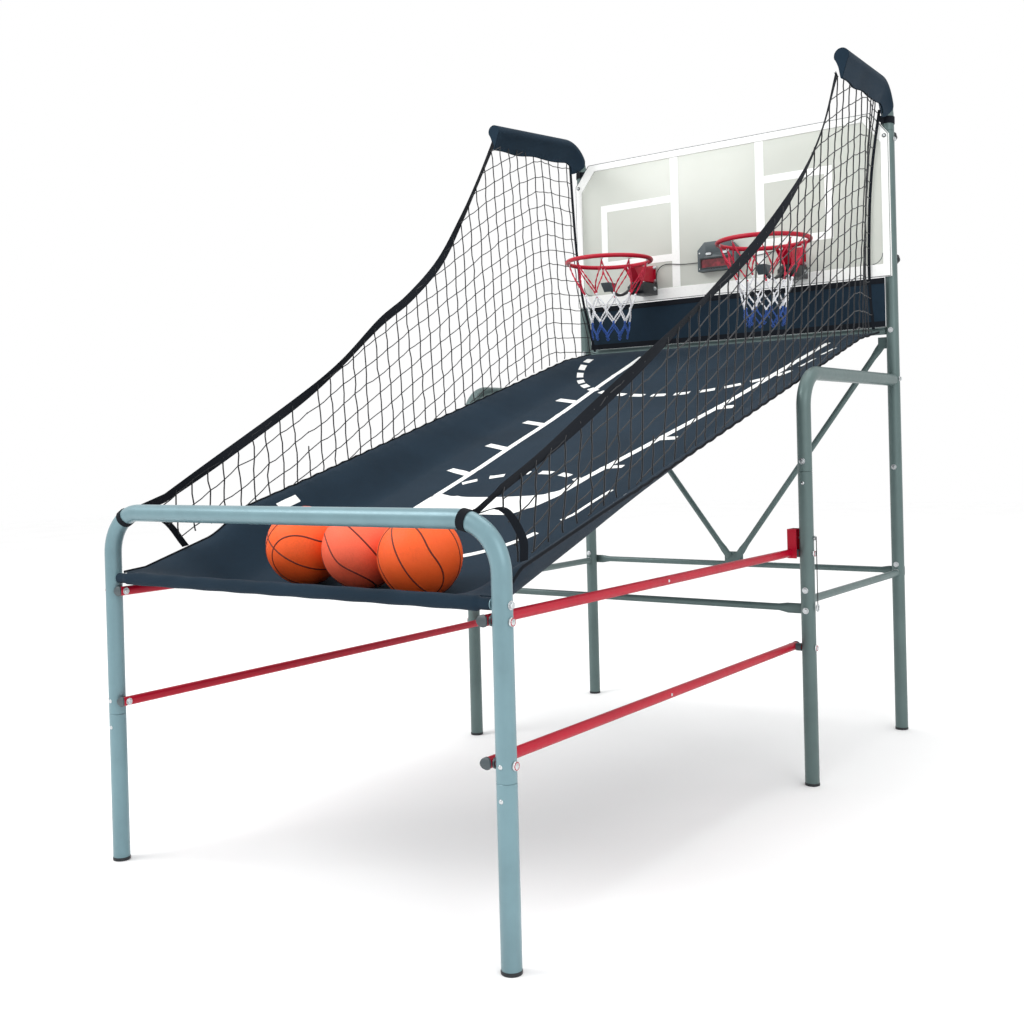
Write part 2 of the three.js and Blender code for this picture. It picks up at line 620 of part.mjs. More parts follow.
// ---- folding front ------------------------------------------------------------------------
function addFrontFrame() {
  const route = bentRoute([
    v3(-FRONT_X, FRONT_Y, FRONT_SEAM_Z),
    v3(-FRONT_X, FRONT_Y, BOW_Z),
    v3(FRONT_X, FRONT_Y, BOW_Z),
    v3(FRONT_X, FRONT_Y, FRONT_SEAM_Z),
  ], BEND_R, BEND_STEPS);
  const holes = SIDES.flatMap(([, s]) => [RAIL_UP_Z, RAIL_LOW_Z].map(
    (z) => crossHole(s * FRONT_X, FRONT_Y, z, PIVOT_HOLE_R)));
  addPiece('front_bow', 'paint_light', cut(pipe(route, LEG_R, WALL), ...holes));
  for (const [side, s] of SIDES) {
    addPiece(`front_leg_${side}`, 'paint_light', cut(
      footedTube(FRONT_SEAM_Z, s * FRONT_X, FRONT_Y),
      crossHole(s * FRONT_X, FRONT_Y, RAIL_LOW_Z, PIVOT_HOLE_R),
    ));
  }
  const reach = FRONT_X - LEG_R - GAP;
  addPiece('tray_tube', 'paint_light', pipe([
    v3(-reach, FRONT_Y, TRAY_Z), v3(reach, FRONT_Y, TRAY_Z),
  ], TRAY_R, WALL));
  addPiece('tray_sleeve', 'fabric_navy', pipe([
    v3(-RAIL_X + RAIL_R + 4, FRONT_Y, TRAY_Z), v3(RAIL_X - RAIL_R - 4, FRONT_Y, TRAY_Z),
  ], TRAY_SLEEVE_R, TRAY_SLEEVE_R - TRAY_R - 0.5));
}

// Bolt that a rail turns on: shank through the leg, head on the outside, spacer inside.
function pivotBolt(s, legX, y, z) {
  const outside = legX + LEG_R + GAP;
  return [
    rod(v3(s * RAIL_X, y, z), v3(s * (outside + 1), y, z), PIVOT_R, 12),
    rod(v3(s * outside, y, z), v3(s * (outside + PIVOT_HEAD_T), y, z), PIVOT_HEAD_R, 12),
    rod(v3(s * (RAIL_X + 4), y, z), v3(s * (legX - LEG_R - GAP), y, z), 8.5, 12),
  ];
}

// Upright channel at an upper rail's rear end; the lock pin passes through its web.
function lockChannel(s) {
  const c = CHANNEL;
  const y0 = SIDE_Y - c.front;
  const y1 = SIDE_Y + c.rear;
  const web = block(s * c.x0, s * (c.x0 + c.t), y0, y1, c.bottom, c.top);
  const front = block(s * c.x0, s * c.x1, y0, y0 + c.t, c.bottom, c.top);
  const back = block(s * c.x0, s * c.x1, y1 - c.t, y1, c.bottom, c.top);
  return [web, front, back];
}

function foldingRail(s, z, extras) {
  const tube = rod(v3(s * RAIL_X, FRONT_Y - RAIL_NOSE_R, z), v3(s * RAIL_X, SIDE_Y + RAIL_REAR_END, z),
    RAIL_R);
  const nose = rod(v3(s * (RAIL_X - 12), FRONT_Y, z), v3(s * (RAIL_X + 12), FRONT_Y, z), RAIL_NOSE_R, 32);
  const front = block(s * (RAIL_X - 12), s * (RAIL_X + 12), FRONT_Y - 30, FRONT_Y, z - 18, z + 18);
  return join(
    cut(tube, cut(front, nose)),
    ...pivotBolt(s, FRONT_X, FRONT_Y, z),
    ...pivotBolt(s, SIDE_X, SIDE_Y, z),
    ...extras,
  );
}

function addRails() {
  for (const [side, s] of SIDES) {
    addPiece(`upper_rail_${side}`, 'paint_red', cut(
      foldingRail(s, RAIL_UP_Z, lockChannel(s)),
      rod(v3(s * (CHANNEL.x0 - 10), LOCK_Y, LOCK_Z), v3(s * (CHANNEL.x0 + 10), LOCK_Y, LOCK_Z),
        LOCK_HOLE_R),
    ));
    addPiece(`lower_rail_${side}`, 'paint_red', foldingRail(s, RAIL_LOW_Z, []));
  }
}

function addLockPins() {
  const head = SIDE_X + LEG_R + GAP;
  for (const [side, s] of SIDES) {
    addPiece(`lock_pin_${side}`, 'zinc_steel', join(
      rod(v3(s * (CHANNEL.x1 + 1), LOCK_Y, LOCK_Z), v3(s * (head + 1), LOCK_Y, LOCK_Z), LOCK_R, 12),
      rod(v3(s * head, LOCK_Y, LOCK_Z), v3(s * (head + 5), LOCK_Y, LOCK_Z), 6, 12),
    ));
    const x = s * (head + 5 + GAP + LANYARD_R);
    const top = LOCK_Z + 4;
    addPiece(`lanyard_${side}`, 'plastic_black', pipe([
      v3(x, LOCK_Y, top), v3(x, LOCK_Y, top - LANYARD_LEN),
    ], LANYARD_R, 0, 8));
    const loop = ring(0, 0, 0, LANYARD_RING_R, 2.5, 16, 6);
    loop.rotateY(Math.PI / 2);
    loop.translate(x, LOCK_Y, top - LANYARD_LEN - GAP - LANYARD_RING_R - 2.5);
    addPiece(`lanyard_ring_${side}`, 'plastic_black', loop);
  }
}

// Hollow ball with its filling hole on top.
function ball({ x, y, z }) {
  const profile = [];
  const hole = 2.5;
  const steps = 9;
  const start = Math.asin(hole / BALL_R);
  const arc = (radius, from, to) => {
    for (let i = 0; i <= steps; i += 1) {
      const a = THREE.MathUtils.lerp(from, to, i / steps);
      profile.push([radius * Math.sin(a), z + radius * Math.cos(a)]);
    }
  };
  arc(BALL_R, Math.PI, start);
  arc(BALL_R - BALL_WALL, start, Math.PI);
  profile.push(profile[0]);
  return turned(profile.map(([r, z]) => [r < 1e-6 ? 0 : r, z]), x, y, BALL_SIDES);
}

function addBalls() {
  for (const [place, centre] of Object.entries(BALLS)) {
    addPiece(`ball_${place}`, place === 'middle' ? 'ball_salmon' : 'ball_orange', ball(centre));
  }
}

addPosts();
addSideLegs();
addCrossMembers();
addBoard();
addHoops();
addScoreUnit();
addLeads();
addKnobs();
addSoftGoods();
addFrontFrame();
addRails();
addLockPins();
addBalls();

export default machine;
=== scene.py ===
import math

import bpy
import bmesh
from mathutils import Matrix, Vector


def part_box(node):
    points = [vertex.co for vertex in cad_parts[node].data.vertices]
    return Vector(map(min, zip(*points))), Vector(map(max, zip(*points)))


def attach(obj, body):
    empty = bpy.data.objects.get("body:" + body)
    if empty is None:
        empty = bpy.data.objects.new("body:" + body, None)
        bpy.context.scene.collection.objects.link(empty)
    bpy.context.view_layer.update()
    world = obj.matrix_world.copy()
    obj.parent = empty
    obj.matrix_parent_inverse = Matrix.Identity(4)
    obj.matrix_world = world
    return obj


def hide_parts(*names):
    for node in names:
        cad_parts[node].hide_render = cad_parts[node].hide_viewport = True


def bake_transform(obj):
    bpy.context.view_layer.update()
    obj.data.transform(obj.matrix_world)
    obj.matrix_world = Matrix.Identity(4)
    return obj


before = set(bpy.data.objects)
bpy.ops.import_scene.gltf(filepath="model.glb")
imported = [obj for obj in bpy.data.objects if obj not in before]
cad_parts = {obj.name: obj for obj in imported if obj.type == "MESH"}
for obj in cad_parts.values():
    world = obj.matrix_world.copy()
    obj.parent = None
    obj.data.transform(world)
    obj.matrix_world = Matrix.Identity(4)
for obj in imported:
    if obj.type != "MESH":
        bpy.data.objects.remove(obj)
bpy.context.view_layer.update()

SIDES = (("left", -1), ("right", 1))
FORWARD, BACKWARD, UPWARD = (0, -1, 0), (0, 1, 0), (0, 0, 1)

# ---- places, from the frame --------------------------------------------------------------
FRONT_Y = -1.057                 # the three pairs of legs
SIDE_Y = 0.306
REAR_Y = 1.037
FRONT_X = 0.550
SIDE_X = 0.561
REAR_X = 0.566
LEG_R = 0.019
BEND_R = 0.095
SEAM = 0.0003                    # gap between tubes that plug into each other
HEAD_SEAT = LEG_R - 0.0004       # bolt heads start just inside a leg's surface
CLOTH_T = 0.0016
STRAP_T = 0.0016

BOW_Z = 0.795
FRONT_SEAM_Z = 0.335
SIDE_SEAM_Z = 0.835
J_Z = 1.099
POST_TOP_Z = 1.880
ARM_REAR_Z = 2.015               # the net arms fall a little towards their tips
ARM_TIP_Z = 1.987
ARM_BEND_R = 0.100
ARM_TIP = (0.602, 0.545)

SIDE_RAIL_Z = 0.493
CROSS_FRONT_Z = 0.466
CROSS_REAR_Z = 0.497
BRACE_R = 0.0095
BRACE_FOOT = (0.014, 0.522)      # x and z where a diagonal brace starts and ends
BRACE_HEAD = (0.536, 1.222)
BRACE_BACK = 0.0085              # how far the braces stand behind the posts' centre lines
PRESSED_T = 0.005                # thickness of a brace tube that is pressed flat
TOP_BAR_Z = 1.256
TRAY_Z = 0.646

RAIL_X = 0.516
RAIL_R = 0.0105
RAIL_UP_Z = 0.617
RAIL_LOW_Z = 0.366
RAIL_NOSE_R = 0.0173
RAIL_PLUG_R = RAIL_R + 0.0009
RIVET_Y = -0.40                  # small rivet on the outer side of each rail
LOCK_Y = 0.308

BOARD_LO, BOARD_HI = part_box("board_border")
HOOP_X = 0.276
HOOP_Y = 0.728
HOOP_Z = 1.532
HOOP_R = 0.140
HOOP_WIRE_R = 0.007
HOOK_COUNT = 9
BRACKET_FACE = BOARD_LO.y - SEAM - 0.003
BRACKET_BOLTS = [(dx, z) for dx in (-0.0215, 0.0215) for z in (1.490, 1.538)]
NET_FOOT = (0.0590, 1.279)       # radius and height of a hoop net's lowest knots

RAMP_HALF = 0.530
RAMP_FRONT = FRONT_Y + 0.015
RAMP_BACK = REAR_Y - 0.026
CUT_Y = -0.45                    # the soft goods are sewn from two lengths that meet here
NET_PITCH = 0.050
NET_ROW = 0.052
NET_BEND_Y = 0.780               # the rows of meshes run level behind this

BALLS = ("left", "middle", "right")


def add_object(name, data):
    thing = bpy.data.objects.new(name, data)
    bpy.context.scene.collection.objects.link(thing)
    return thing


# ---- camera ------------------------------------------------------------------------------
def make_camera():
    right = Vector((0.80625, 0.59099, -0.02623))
    up = Vector((0.01628, 0.02216, 0.99962))
    back = Vector((0.59135, -0.80637, 0.00825))
    data = bpy.data.cameras.new("camera")
    data.lens = 42.14
    data.sensor_width = 36.0
    data.shift_x = 0.0145
    data.shift_y = -0.0544
    camera = add_object("camera", data)
    turn = Matrix((right, up, back)).transposed().to_4x4()
    camera.matrix_world = Matrix.Translation((1.786, -2.746, 0.923)) @ turn
    bpy.context.scene.camera = camera


# ---- materials ---------------------------------------------------------------------------
def tone(red, green, blue):
    """Linear colour from the usual 0-255 values."""
    def linear(value):
        share = value / 255
        return share / 12.92 if share <= 0.04045 else ((share + 0.055) / 1.055) ** 2.4
    return (linear(red), linear(green), linear(blue), 1.0)


def shade(colour, factor):
    """The colour made lighter or darker, opaque."""
    return tuple(min(1.0, c * factor) for c in colour[:3]) + (1.0,)


class Look:
    """A Principled material, with short ways to add procedural detail to it."""

    def __init__(self, name, **sockets):
        self.material = bpy.data.materials.new(name)
        self.material.use_nodes = True
        self.tree = self.material.node_tree
        self.shader = self.tree.nodes["Principled BSDF"]
        self.fill(self.shader, **sockets)
        self.place = self.tree.nodes.new("ShaderNodeTexCoord").outputs["Object"]
        self.normal = None

    def fill(self, node, **sockets):
        """Sets or links sockets of a node; an underscore in a name stands for a blank."""
        for name, value in sockets.items():
            socket = node.inputs[name.replace("_", " ")]
            if isinstance(value, bpy.types.NodeSocket):
                self.tree.links.new(value, socket)
            else:
                socket.default_value = value
        return node

    def new(self, kind, **sockets):
        return self.fill(self.tree.nodes.new("ShaderNode" + kind), **sockets)

    def stretched(self, scale):
        return self.new("Mapping", Scale=scale, Vector=self.place).outputs["Vector"]

    def noise(self, scale, detail=3.0, rough=0.5, place=None):
        return self.new("TexNoise", Scale=scale, Detail=detail, Roughness=rough,
                        Vector=place or self.place).outputs["Fac"]

    def cells(self, scale):
        return self.new("TexVoronoi", Scale=scale, Vector=self.place).outputs["Distance"]

    def threads(self, pitch, direction):
        node = self.new("TexWave", Scale=0.314 / pitch, Distortion=0.6, Detail=1.0, Vector=self.place)
        node.bands_direction = direction
        return node.outputs["Fac"]

    def maths(self, kind, a, b):
        node = self.new("Math")
        node.operation = kind
        for socket, value in zip(node.inputs, (a, b)):
            if isinstance(value, float):
                socket.default_value = value
            else:
                self.tree.links.new(value, socket)
        return node.outputs[0]

    def times(self, a, b):
        return self.maths("MULTIPLY", a, b)

    def mix(self, a, b, share):
        return self.maths("ADD", self.times(a, share), self.times(b, round(1 - share, 2)))

    def colours(self, factor, *stops):
        node = self.new("ValToRGB", Fac=factor)
        band = node.color_ramp
        while len(band.elements) < len(stops):
            band.elements.new(0.5)
        for element, (position, colour) in zip(band.elements, stops):
            element.position = position
            element.color = colour
        self.fill(self.shader, Base_Color=node.outputs["Color"])

    def mottled(self, factor, colour, *stops):
        """Colour that drifts between shades, given as (position, shade) pairs."""
        self.colours(factor, *[(position, shade(colour, share)) for position, share in stops])

    def roughness(self, factor, low, high):
        node = self.new("MapRange", From_Min=0.3, From_Max=0.7, To_Min=low, To_Max=high, Value=factor)
        self.fill(self.shader, Roughness=node.outputs["Result"])

    def bump(self, height, distance, strength=1.0):
        node = self.new("Bump", Distance=distance, Strength=strength, Height=height)
        if self.normal:
            self.fill(node, Normal=self.normal)
        self.normal = node.outputs["Normal"]
        self.fill(self.shader, Normal=self.normal)


def painted(name, colour, gloss, metallic, coat):
    """Powder coat: fine orange peel, slow drifts of shade and a few scuffs."""
    look = Look(name, Metallic=metallic, Coat_Weight=coat, Coat_Roughness=0.18,
                Specular_IOR_Level=0.3)
    drift = look.noise(7.0, 4.0, 0.6)
    scuffs = look.noise(90.0, 8.0, 0.75, look.stretched((1.0, 1.0, 0.25)))
    look.mottled(look.mix(drift, scuffs, 0.75), colour, (0.30, 0.86), (0.52, 1.0), (0.72, 1.10))
    look.roughness(scuffs, gloss - 0.06, gloss + 0.12)
    look.bump(look.noise(620.0, 2.0), 0.00012, 0.35)
    return look.material


def woven(name, colour, pitch, sheen):
    """Plain weave: crossed threads, heathered yarn and soft wear."""
    look = Look(name, Sheen_Weight=sheen, Sheen_Roughness=0.45, Specular_IOR_Level=0.12)
    warp = look.threads(pitch, "X")
    weft = look.threads(pitch, "Y")
    cloth = look.times(warp, weft)
    yarn = look.noise(420.0, 5.0, 0.7, look.stretched((1.0, 0.2, 1.0)))
    cloudy = look.noise(5.0, 5.0, 0.6)
    look.mottled(look.mix(yarn, cloudy, 0.45), colour, (0.32, 0.72), (0.5, 1.0), (0.70, 1.25))
    look.roughness(yarn, 0.78, 0.95)
    look.bump(cloth, 0.0003, 0.5)
    look.bump(yarn, 0.0002, 0.35)
    look.bump(cloudy, 0.003, 0.12)
    return look.material


def braided(name, colour, pitch):
    """Cord: strands that wind round it, with painted shade darkening the grooves between them."""
    look = Look(name, Sheen_Weight=0.2, Specular_IOR_Level=0.3)
    strands = look.threads(pitch, "DIAGONAL")
    fluff = look.noise(900.0, 3.0)
    # Painted shade: the colour falls to 0.68 where the strands' bump is lowest, in the grooves; the fluff
    # noise adds random tone.
    look.mottled(look.times(strands, fluff), colour, (0.05, 0.68), (0.45, 1.0), (0.8, 1.12))
    look.roughness(fluff, 0.7, 0.92)
    look.bump(strands, 0.0004, 0.6)
    return look.material


def moulded(name, colour, rough, grain=900.0):
    """Moulded plastic: fine spark grain and slight gloss changes."""
    look = Look(name, Specular_IOR_Level=0.4)
    fine = look.noise(grain, 3.0, 0.6)
    broad = look.noise(14.0, 4.0)
    look.mottled(look.mix(fine, broad, 0.4), colour, (0.30, 0.80), (0.50, 1.0), (0.72, 1.22))
    look.roughness(broad, rough - 0.06, rough + 0.10)
    look.bump(fine, 0.00015, 0.4)
    return look.material


def pebbled(name, colour):
    """Ball cover: round pebbles, rubbed paler in patches."""
    look = Look(name, Specular_IOR_Level=0.35)
    pebbles = look.cells(430.0)
    rubbed = look.noise(9.0, 5.0, 0.65)
    grain = look.noise(260.0, 3.0)
    look.mottled(look.mix(rubbed, grain, 0.7), colour, (0.30, 0.84), (0.50, 1.0), (0.70, 1.12))
    look.roughness(rubbed, 0.48, 0.68)
    look.bump(pebbles, 0.0009, 0.55)
    return look.material


def plated(name, colour):
    """Zinc plate: faint drawn lines and patches of haze."""
    look = Look(name, Metallic=1.0)
    haze = look.noise(160.0, 5.0, 0.65)
    lines = look.noise(700.0, 2.0, 0.5, look.stretched((1.0, 1.0, 0.08)))
    look.mottled(haze, colour, (0.3, 0.80), (0.55, 1.0), (0.75, 1.08))
    look.roughness(haze, 0.20, 0.42)
    look.bump(lines, 0.0001, 0.35)
    return look.material


def printed(name, colour, rough=0.55):
    """Ink or film on a sheet: nearly even, with fine mottling."""
    look = Look(name, Specular_IOR_Level=0.35)
    mottle = look.noise(120.0, 5.0, 0.6)
    look.mottled(mottle, colour, (0.25, 0.95), (0.5, 1.0), (0.75, 1.02))
    look.roughness(mottle, rough - 0.08, rough + 0.08)
    look.bump(look.noise(500.0, 2.0), 0.0001, 0.25)
    return look.material


def clear_panel(name, colour):
    """Tinted translucent sheet: what stands close behind it shows faintly."""
    look = Look(name, Alpha=0.80, Specular_IOR_Level=0.45)
    cloud = look.noise(3.0, 4.0, 0.5)
    look.mottled(cloud, colour, (0.3, 0.96), (0.5, 1.0), (0.7, 1.03))
    look.roughness(look.noise(60.0, 4.0), 0.28, 0.40)
    look.bump(look.noise(25.0, 2.0), 0.0006, 0.15)
    return look.material


def window_with_painted_glow(name, colour):
    """Dark red display window with unlit segments behind it, given a faint painted glow: emission, and
    patches made up to 1.9 times brighter.
    """
    # Painted glow: a faint emission over the whole window, and noise patches that make its colour up to
    # 1.9 times brighter.
    look = Look(name, Specular_IOR_Level=0.6, Emission_Strength=0.22)
    painted_glow = look.noise(55.0, 3.0, 0.6)
    look.mottled(painted_glow, colour, (0.35, 0.45), (0.5, 1.0), (0.68, 1.9))
    look.shader.inputs["Emission Color"].default_value = colour
    look.roughness(look.noise(200.0), 0.08, 0.18)
    return look.material


LOOKS = {name: maker(name, *values) for name, maker, *values in (
    ("paint_light", painted, tone(112, 142, 150), 0.36, 0.30, 0.2),
    ("paint_dark", painted, tone(90, 108, 107), 0.40, 0.30, 0.12),
    ("paint_red", painted, tone(168, 0, 36), 0.42, 0.0, 0.08),
    ("board_white", printed, tone(238, 240, 238)),
    ("board_panel", clear_panel, tone(204, 208, 200)),
    ("fabric_navy", woven, tone(26, 42, 55), 0.0011, 0.03),
    ("net_black", braided, tone(22, 26, 31), 0.0024),
    ("webbing", woven, tone(20, 24, 30), 0.0016, 0.02),
    ("cord_red", braided, tone(196, 30, 62), 0.003),
    ("cord_white", braided, tone(240, 242, 246), 0.003),
    ("cord_blue", braided, tone(38, 82, 160), 0.003),
    ("plastic_black", moulded, tone(28, 32, 36), 0.42),
    ("plastic_grey", moulded, tone(66, 76, 80), 0.45),
    ("plastic_light", moulded, tone(196, 202, 204), 0.38),
    ("window_red", window_with_painted_glow, tone(96, 20, 30)),
    ("zinc_steel", plated, tone(200, 204, 206)),
    ("ball_orange", pebbled, tone(255, 98, 36)),
    ("ball_salmon", pebbled, tone(255, 106, 74)),
    ("ball_seam", moulded, tone(96, 34, 26), 0.6, 600.0),
)}


# ---- shapes: each is (vertices, faces) ---------------------------------------------------
def joined(shapes):
    verts, faces = [], []
    for more_verts, more_faces in shapes:
        start = len(verts)
        verts.extend(more_verts)
        faces.extend([[start + i for i in face] for face in more_faces])
    return verts, faces


def tube(points, radius, sides=24, closed=False):
    """Round bar along points. radius is one number or one for each point."""
    points = [Vector(p) for p in points]
    count = len(points)
    radii = radius if isinstance(radius, (list, tuple)) else [radius] * count
    circle = [(math.cos(math.tau * k / sides), math.sin(math.tau * k / sides)) for k in range(sides)]
    verts = []
    normal = None
    for i, point in enumerate(points):
        ahead = points[(i + 1) % count] if closed else points[min(i + 1, count - 1)]
        behind = points[i - 1] if closed or i > 0 else points[0]
        along = (ahead - behind).normalized()
        if normal is None:
            normal = along.orthogonal()
        normal = (normal - along * normal.dot(along)).normalized()
        other = along.cross(normal)
        verts.extend(point + (normal * c + other * s) * radii[i] for c, s in circle)
    return verts, ring_faces(count, sides, closed)


def ring_faces(rings, sides, closed=False):
    """Faces of a body of rings of as many sides: closed on itself, or else with end caps."""
    faces = []
    for i in range(rings if closed else rings - 1):
        low = i * sides
        high = (i + 1) % rings * sides
        for k in range(sides):
            nxt = (k + 1) % sides
            faces.append([low + k, low + nxt, high + nxt, high + k])
    if not closed:
        faces += [list(range(sides))[::-1], list(range((rings - 1) * sides, rings * sides))]
    return faces


def heading(points, i):
    """Direction of a line of points at one of them."""
    return (points[min(i + 1, len(points) - 1)] - points[max(i - 1, 0)]).normalized()


def bent(corners, radius, steps=14):
    """Points of straight runs whose corners are rounded to one bend radius."""
    corners = [Vector(c) for c in corners]
    points = [corners[0]]
    for before, corner, after in zip(corners, corners[1:], corners[2:]):
        back = (before - corner).normalized()
        on = (after - corner).normalized()
        half = back.angle(on) / 2
        centre = corner + (back + on).normalized() * (radius / math.sin(half))
        start = corner + back * (radius / math.tan(half)) - centre
        axis = start.cross(corner + on * (radius / math.tan(half)) - centre).normalized()
        for k in range(steps + 1):
            turn = Matrix.Rotation((math.pi - 2 * half) * k / steps, 3, axis)
            points.append(centre + turn @ start)
    points.append(corners[-1])
    return points


def pipe(points, radius, sides=40, lip=0.0008):
    """Tube whose cut ends are slightly rounded over."""
    points = [Vector(p) for p in points]
    first = points[0] + (points[1] - points[0]).normalized() * lip
    last = points[-1] + (points[-2] - points[-1]).normalized() * lip
    path = [points[0], first, *points[1:-1], last, points[-1]]
    radii = [radius - lip] + [radius] * (len(path) - 2) + [radius - lip]
    return tube(path, radii, sides)


def turned(profile, centre, axis, sides=32, lobes=0, depth=0.0):
    """Turned shape. profile is (radius, height) pairs along axis; lobes scallop the rim."""
    centre, axis = Vector(centre), Vector(axis).normalized()
    side = axis.orthogonal().normalized()
    other = axis.cross(side)
    verts, faces, rings = [], [], []
    for radius, height in profile:
        if radius < 1e-6:
            rings.append([len(verts)])
            verts.append(centre + axis * height)
            continue
        rings.append(list(range(len(verts), len(verts) + sides)))
        for k in range(sides):
            a = math.tau * k / sides
            r = radius * (1 + depth * math.cos(lobes * a))
            verts.append(centre + axis * height + (side * math.cos(a) + other * math.sin(a)) * r)
    pairs = list(zip(rings, rings[1:]))
    if len(rings[0]) > 1:
        pairs.append((rings[-1], rings[0]))
    for low, high in pairs:
        for k in range(sides):
            nxt = (k + 1) % sides
            if len(low) == 1 and len(high) > 1:
                faces.append([low[0], high[nxt], high[k]])
            elif len(high) == 1 and len(low) > 1:
                faces.append([low[k], low[nxt], high[0]])
            elif len(low) > 1:
                faces.append([low[k], low[nxt], high[nxt], high[k]])
    return verts, faces


def collar(inner, outer, low, high):
    """Profile of a plain ring, or of a disc if inner is 0."""
    return [(inner, low), (outer, low), (outer, high), (inner, high)]


def prism(outline, place, depth):
    """Plate: place(a, b, c) puts the outline's (a, b) at depth c."""
    n = len(outline)
    verts = [Vector(place(a, b, c)) for c in (0.0, depth) for a, b in outline]
    faces = [list(range(n)), list(range(n, 2 * n))]
    faces += [[i, (i + 1) % n, n + (i + 1) % n, n + i] for i in range(n)]
    return verts, faces


def upright(y):
    """Places an (x, z) outline across the machine, from y backwards."""
    return lambda a, b, c: (a, y + c, b)


def lengthwise(x):
    """Places a (y, z) outline along the machine, from x to the right."""
    return lambda a, b, c: (x + c, a, b)


def slab(x0, x1, y0, y1, z0, z1):
    return prism([(x0, z0), (x1, z0), (x1, z1), (x0, z1)], upright(y0), y1 - y0)


def cloth(surface, us, vs, thickness):
    """Closed sheet; surface(u, v) is its middle."""
    middle = [[Vector(surface(u, v)) for u in us] for v in vs]
    rows, columns = len(vs), len(us)
    top, under = [], []
    for j in range(rows):
        for i in range(columns):
            across = middle[j][min(i + 1, columns - 1)] - middle[j][max(i - 1, 0)]
            along = middle[min(j + 1, rows - 1)][i] - middle[max(j - 1, 0)][i]
            half = across.cross(along).normalized() * (thickness / 2)
            top.append(middle[j][i] + half)
            under.append(middle[j][i] - half)
    size = rows * columns
    faces = []
    for j in range(rows - 1):
        for i in range(columns - 1):
            a = j * columns + i
            quad = [a, a + 1, a + columns + 1, a + columns]
            faces.append(quad)
            faces.append([size + k for k in reversed(quad)])
    edge = list(range(columns)) + [(j + 1) * columns - 1 for j in range(1, rows)]
    edge += [(rows - 1) * columns + i for i in range(columns - 2, -1, -1)]
    edge += [j * columns for j in range(rows - 2, 0, -1)]
    for a, b in zip(edge, edge[1:] + edge[:1]):
        faces.append([b, a, size + a, size + b])
    return top + under, faces


def ribbon(points, flats, width, thickness):
    """Flat strap along points; flats are the directions across it."""
    points = [Vector(p) for p in points]
    def surface(u, v):
        return points[v] + Vector(flats[v]).normalized() * (u * width / 2)
    return cloth(surface, (-1, -0.6, 0, 0.6, 1), range(len(points)), thickness)


def between(low, high, count):
    return [low + (high - low) * i / count for i in range(count + 1)]


def along_line(line, t):
    """Value at t of a broken line, given as (t, value) pairs in rising or falling order."""
    pairs = sorted(line)
    if t <= pairs[0][0]:
        return pairs[0][1]
    for (t0, v0), (t1, v1) in zip(pairs, pairs[1:]):
        if t <= t1:
            return v0 + (v1 - v0) * (t - t0) / (t1 - t0)
    return pairs[-1][1]


def eased(value, low, high):
    t = min(1.0, max(0.0, (value - low) / (high - low)))
    return t * t * (3 - 2 * t)


def wobble(a, b, seed=0):
    """Repeatable small number from -1 to 1 for a pair of grid places."""
    value = math.sin(a * 12.9898 + b * 78.233 + seed * 37.719) * 43758.5453
    return 2 * (value - math.floor(value)) - 1


# ---- making pieces -----------------------------------------------------------------------
def smooth(mesh):
    mesh.polygons.foreach_set("use_smooth", [True] * len(mesh.polygons))


def clean(mesh, weld=0.0):
    """Turns the faces outwards and shades them smooth; welds vertices closer than weld."""
    work = bmesh.new()
    work.from_mesh(mesh)
    if weld:
        bmesh.ops.remove_doubles(work, verts=work.verts, dist=weld)
    bmesh.ops.recalc_face_normals(work, faces=work.faces)
    work.to_mesh(mesh)
    work.free()
    smooth(mesh)


def make(name, shape, look, body=None, stands_for=(), bevel=0.0, sharp=38):
    """One piece of the object from one shape. Without a body it is left unattached."""
    mesh = bpy.data.meshes.new(name)
    mesh.from_pydata([tuple(v) for v in shape[0]], [], shape[1])
    clean(mesh)
    mesh.set_sharp_from_angle(angle=math.radians(sharp))
    mesh.materials.append(LOOKS[look])
    piece = add_object(name, mesh)
    if bevel:
        round_edges(piece, bevel)
    if body:
        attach(piece, body)
    if stands_for:
        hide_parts(*stands_for)
    return piece


def round_edges(piece, width):
    modifier = piece.modifiers.new("edges", "BEVEL")
    modifier.width = width
    modifier.segments = 2
    modifier.limit_method = "ANGLE"
    modifier.angle_limit = math.radians(40)
    modifier.harden_normals = False


def finish_node(name, look, bevel=0.0, split=35):
    """A carried-over frame node: welded, edges eased, smooth where it is round."""
    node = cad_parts[name]
    node.data.materials.clear()
    node.data.materials.append(LOOKS[look])
    if node.data.has_custom_normals:
        with bpy.context.temp_override(object=node, active_object=node):
            bpy.ops.mesh.customdata_custom_splitnormals_clear()
    smooth(node.data)
    weld = node.modifiers.new("weld", "WELD")
    weld.merge_threshold = 0.00002
    if bevel:
        round_edges(node, bevel)
    crease = node.modifiers.new("crease", "EDGE_SPLIT")
    crease.split_angle = math.radians(split)


def bolt(centre, axis, radius=0.0062, height=0.0045, washer=True):
    """Hexagon head with a domed top on its washer."""
    centre, axis = Vector(centre), Vector(axis).normalized()
    shapes = []
    base = 0.0
    if washer:
        base = 0.0012
        rim = radius * 1.35
        shapes.append(turned([(0, 0), (rim, 0), (rim, base * 0.7), (rim - 0.0004, base), (0, base)],
                             centre, axis))
    shapes.append(turned([(0, base), (radius, base), (radius, base + height * 0.75),
                          (radius * 0.82, base + height), (0, base + height * 1.05)],
                         centre, axis, 6))
    return joined(shapes)


def dome(centre, axis, radius=0.0068, height=0.004):
    """Round cap nut or rivet head."""
    arc = [(radius * math.cos(a), height * math.sin(a)) for a in between(0, math.pi / 2 * 0.95, 6)]
    return turned([(0, 0), (radius, 0), *arc[1:], (0, height)], centre, axis, 24)


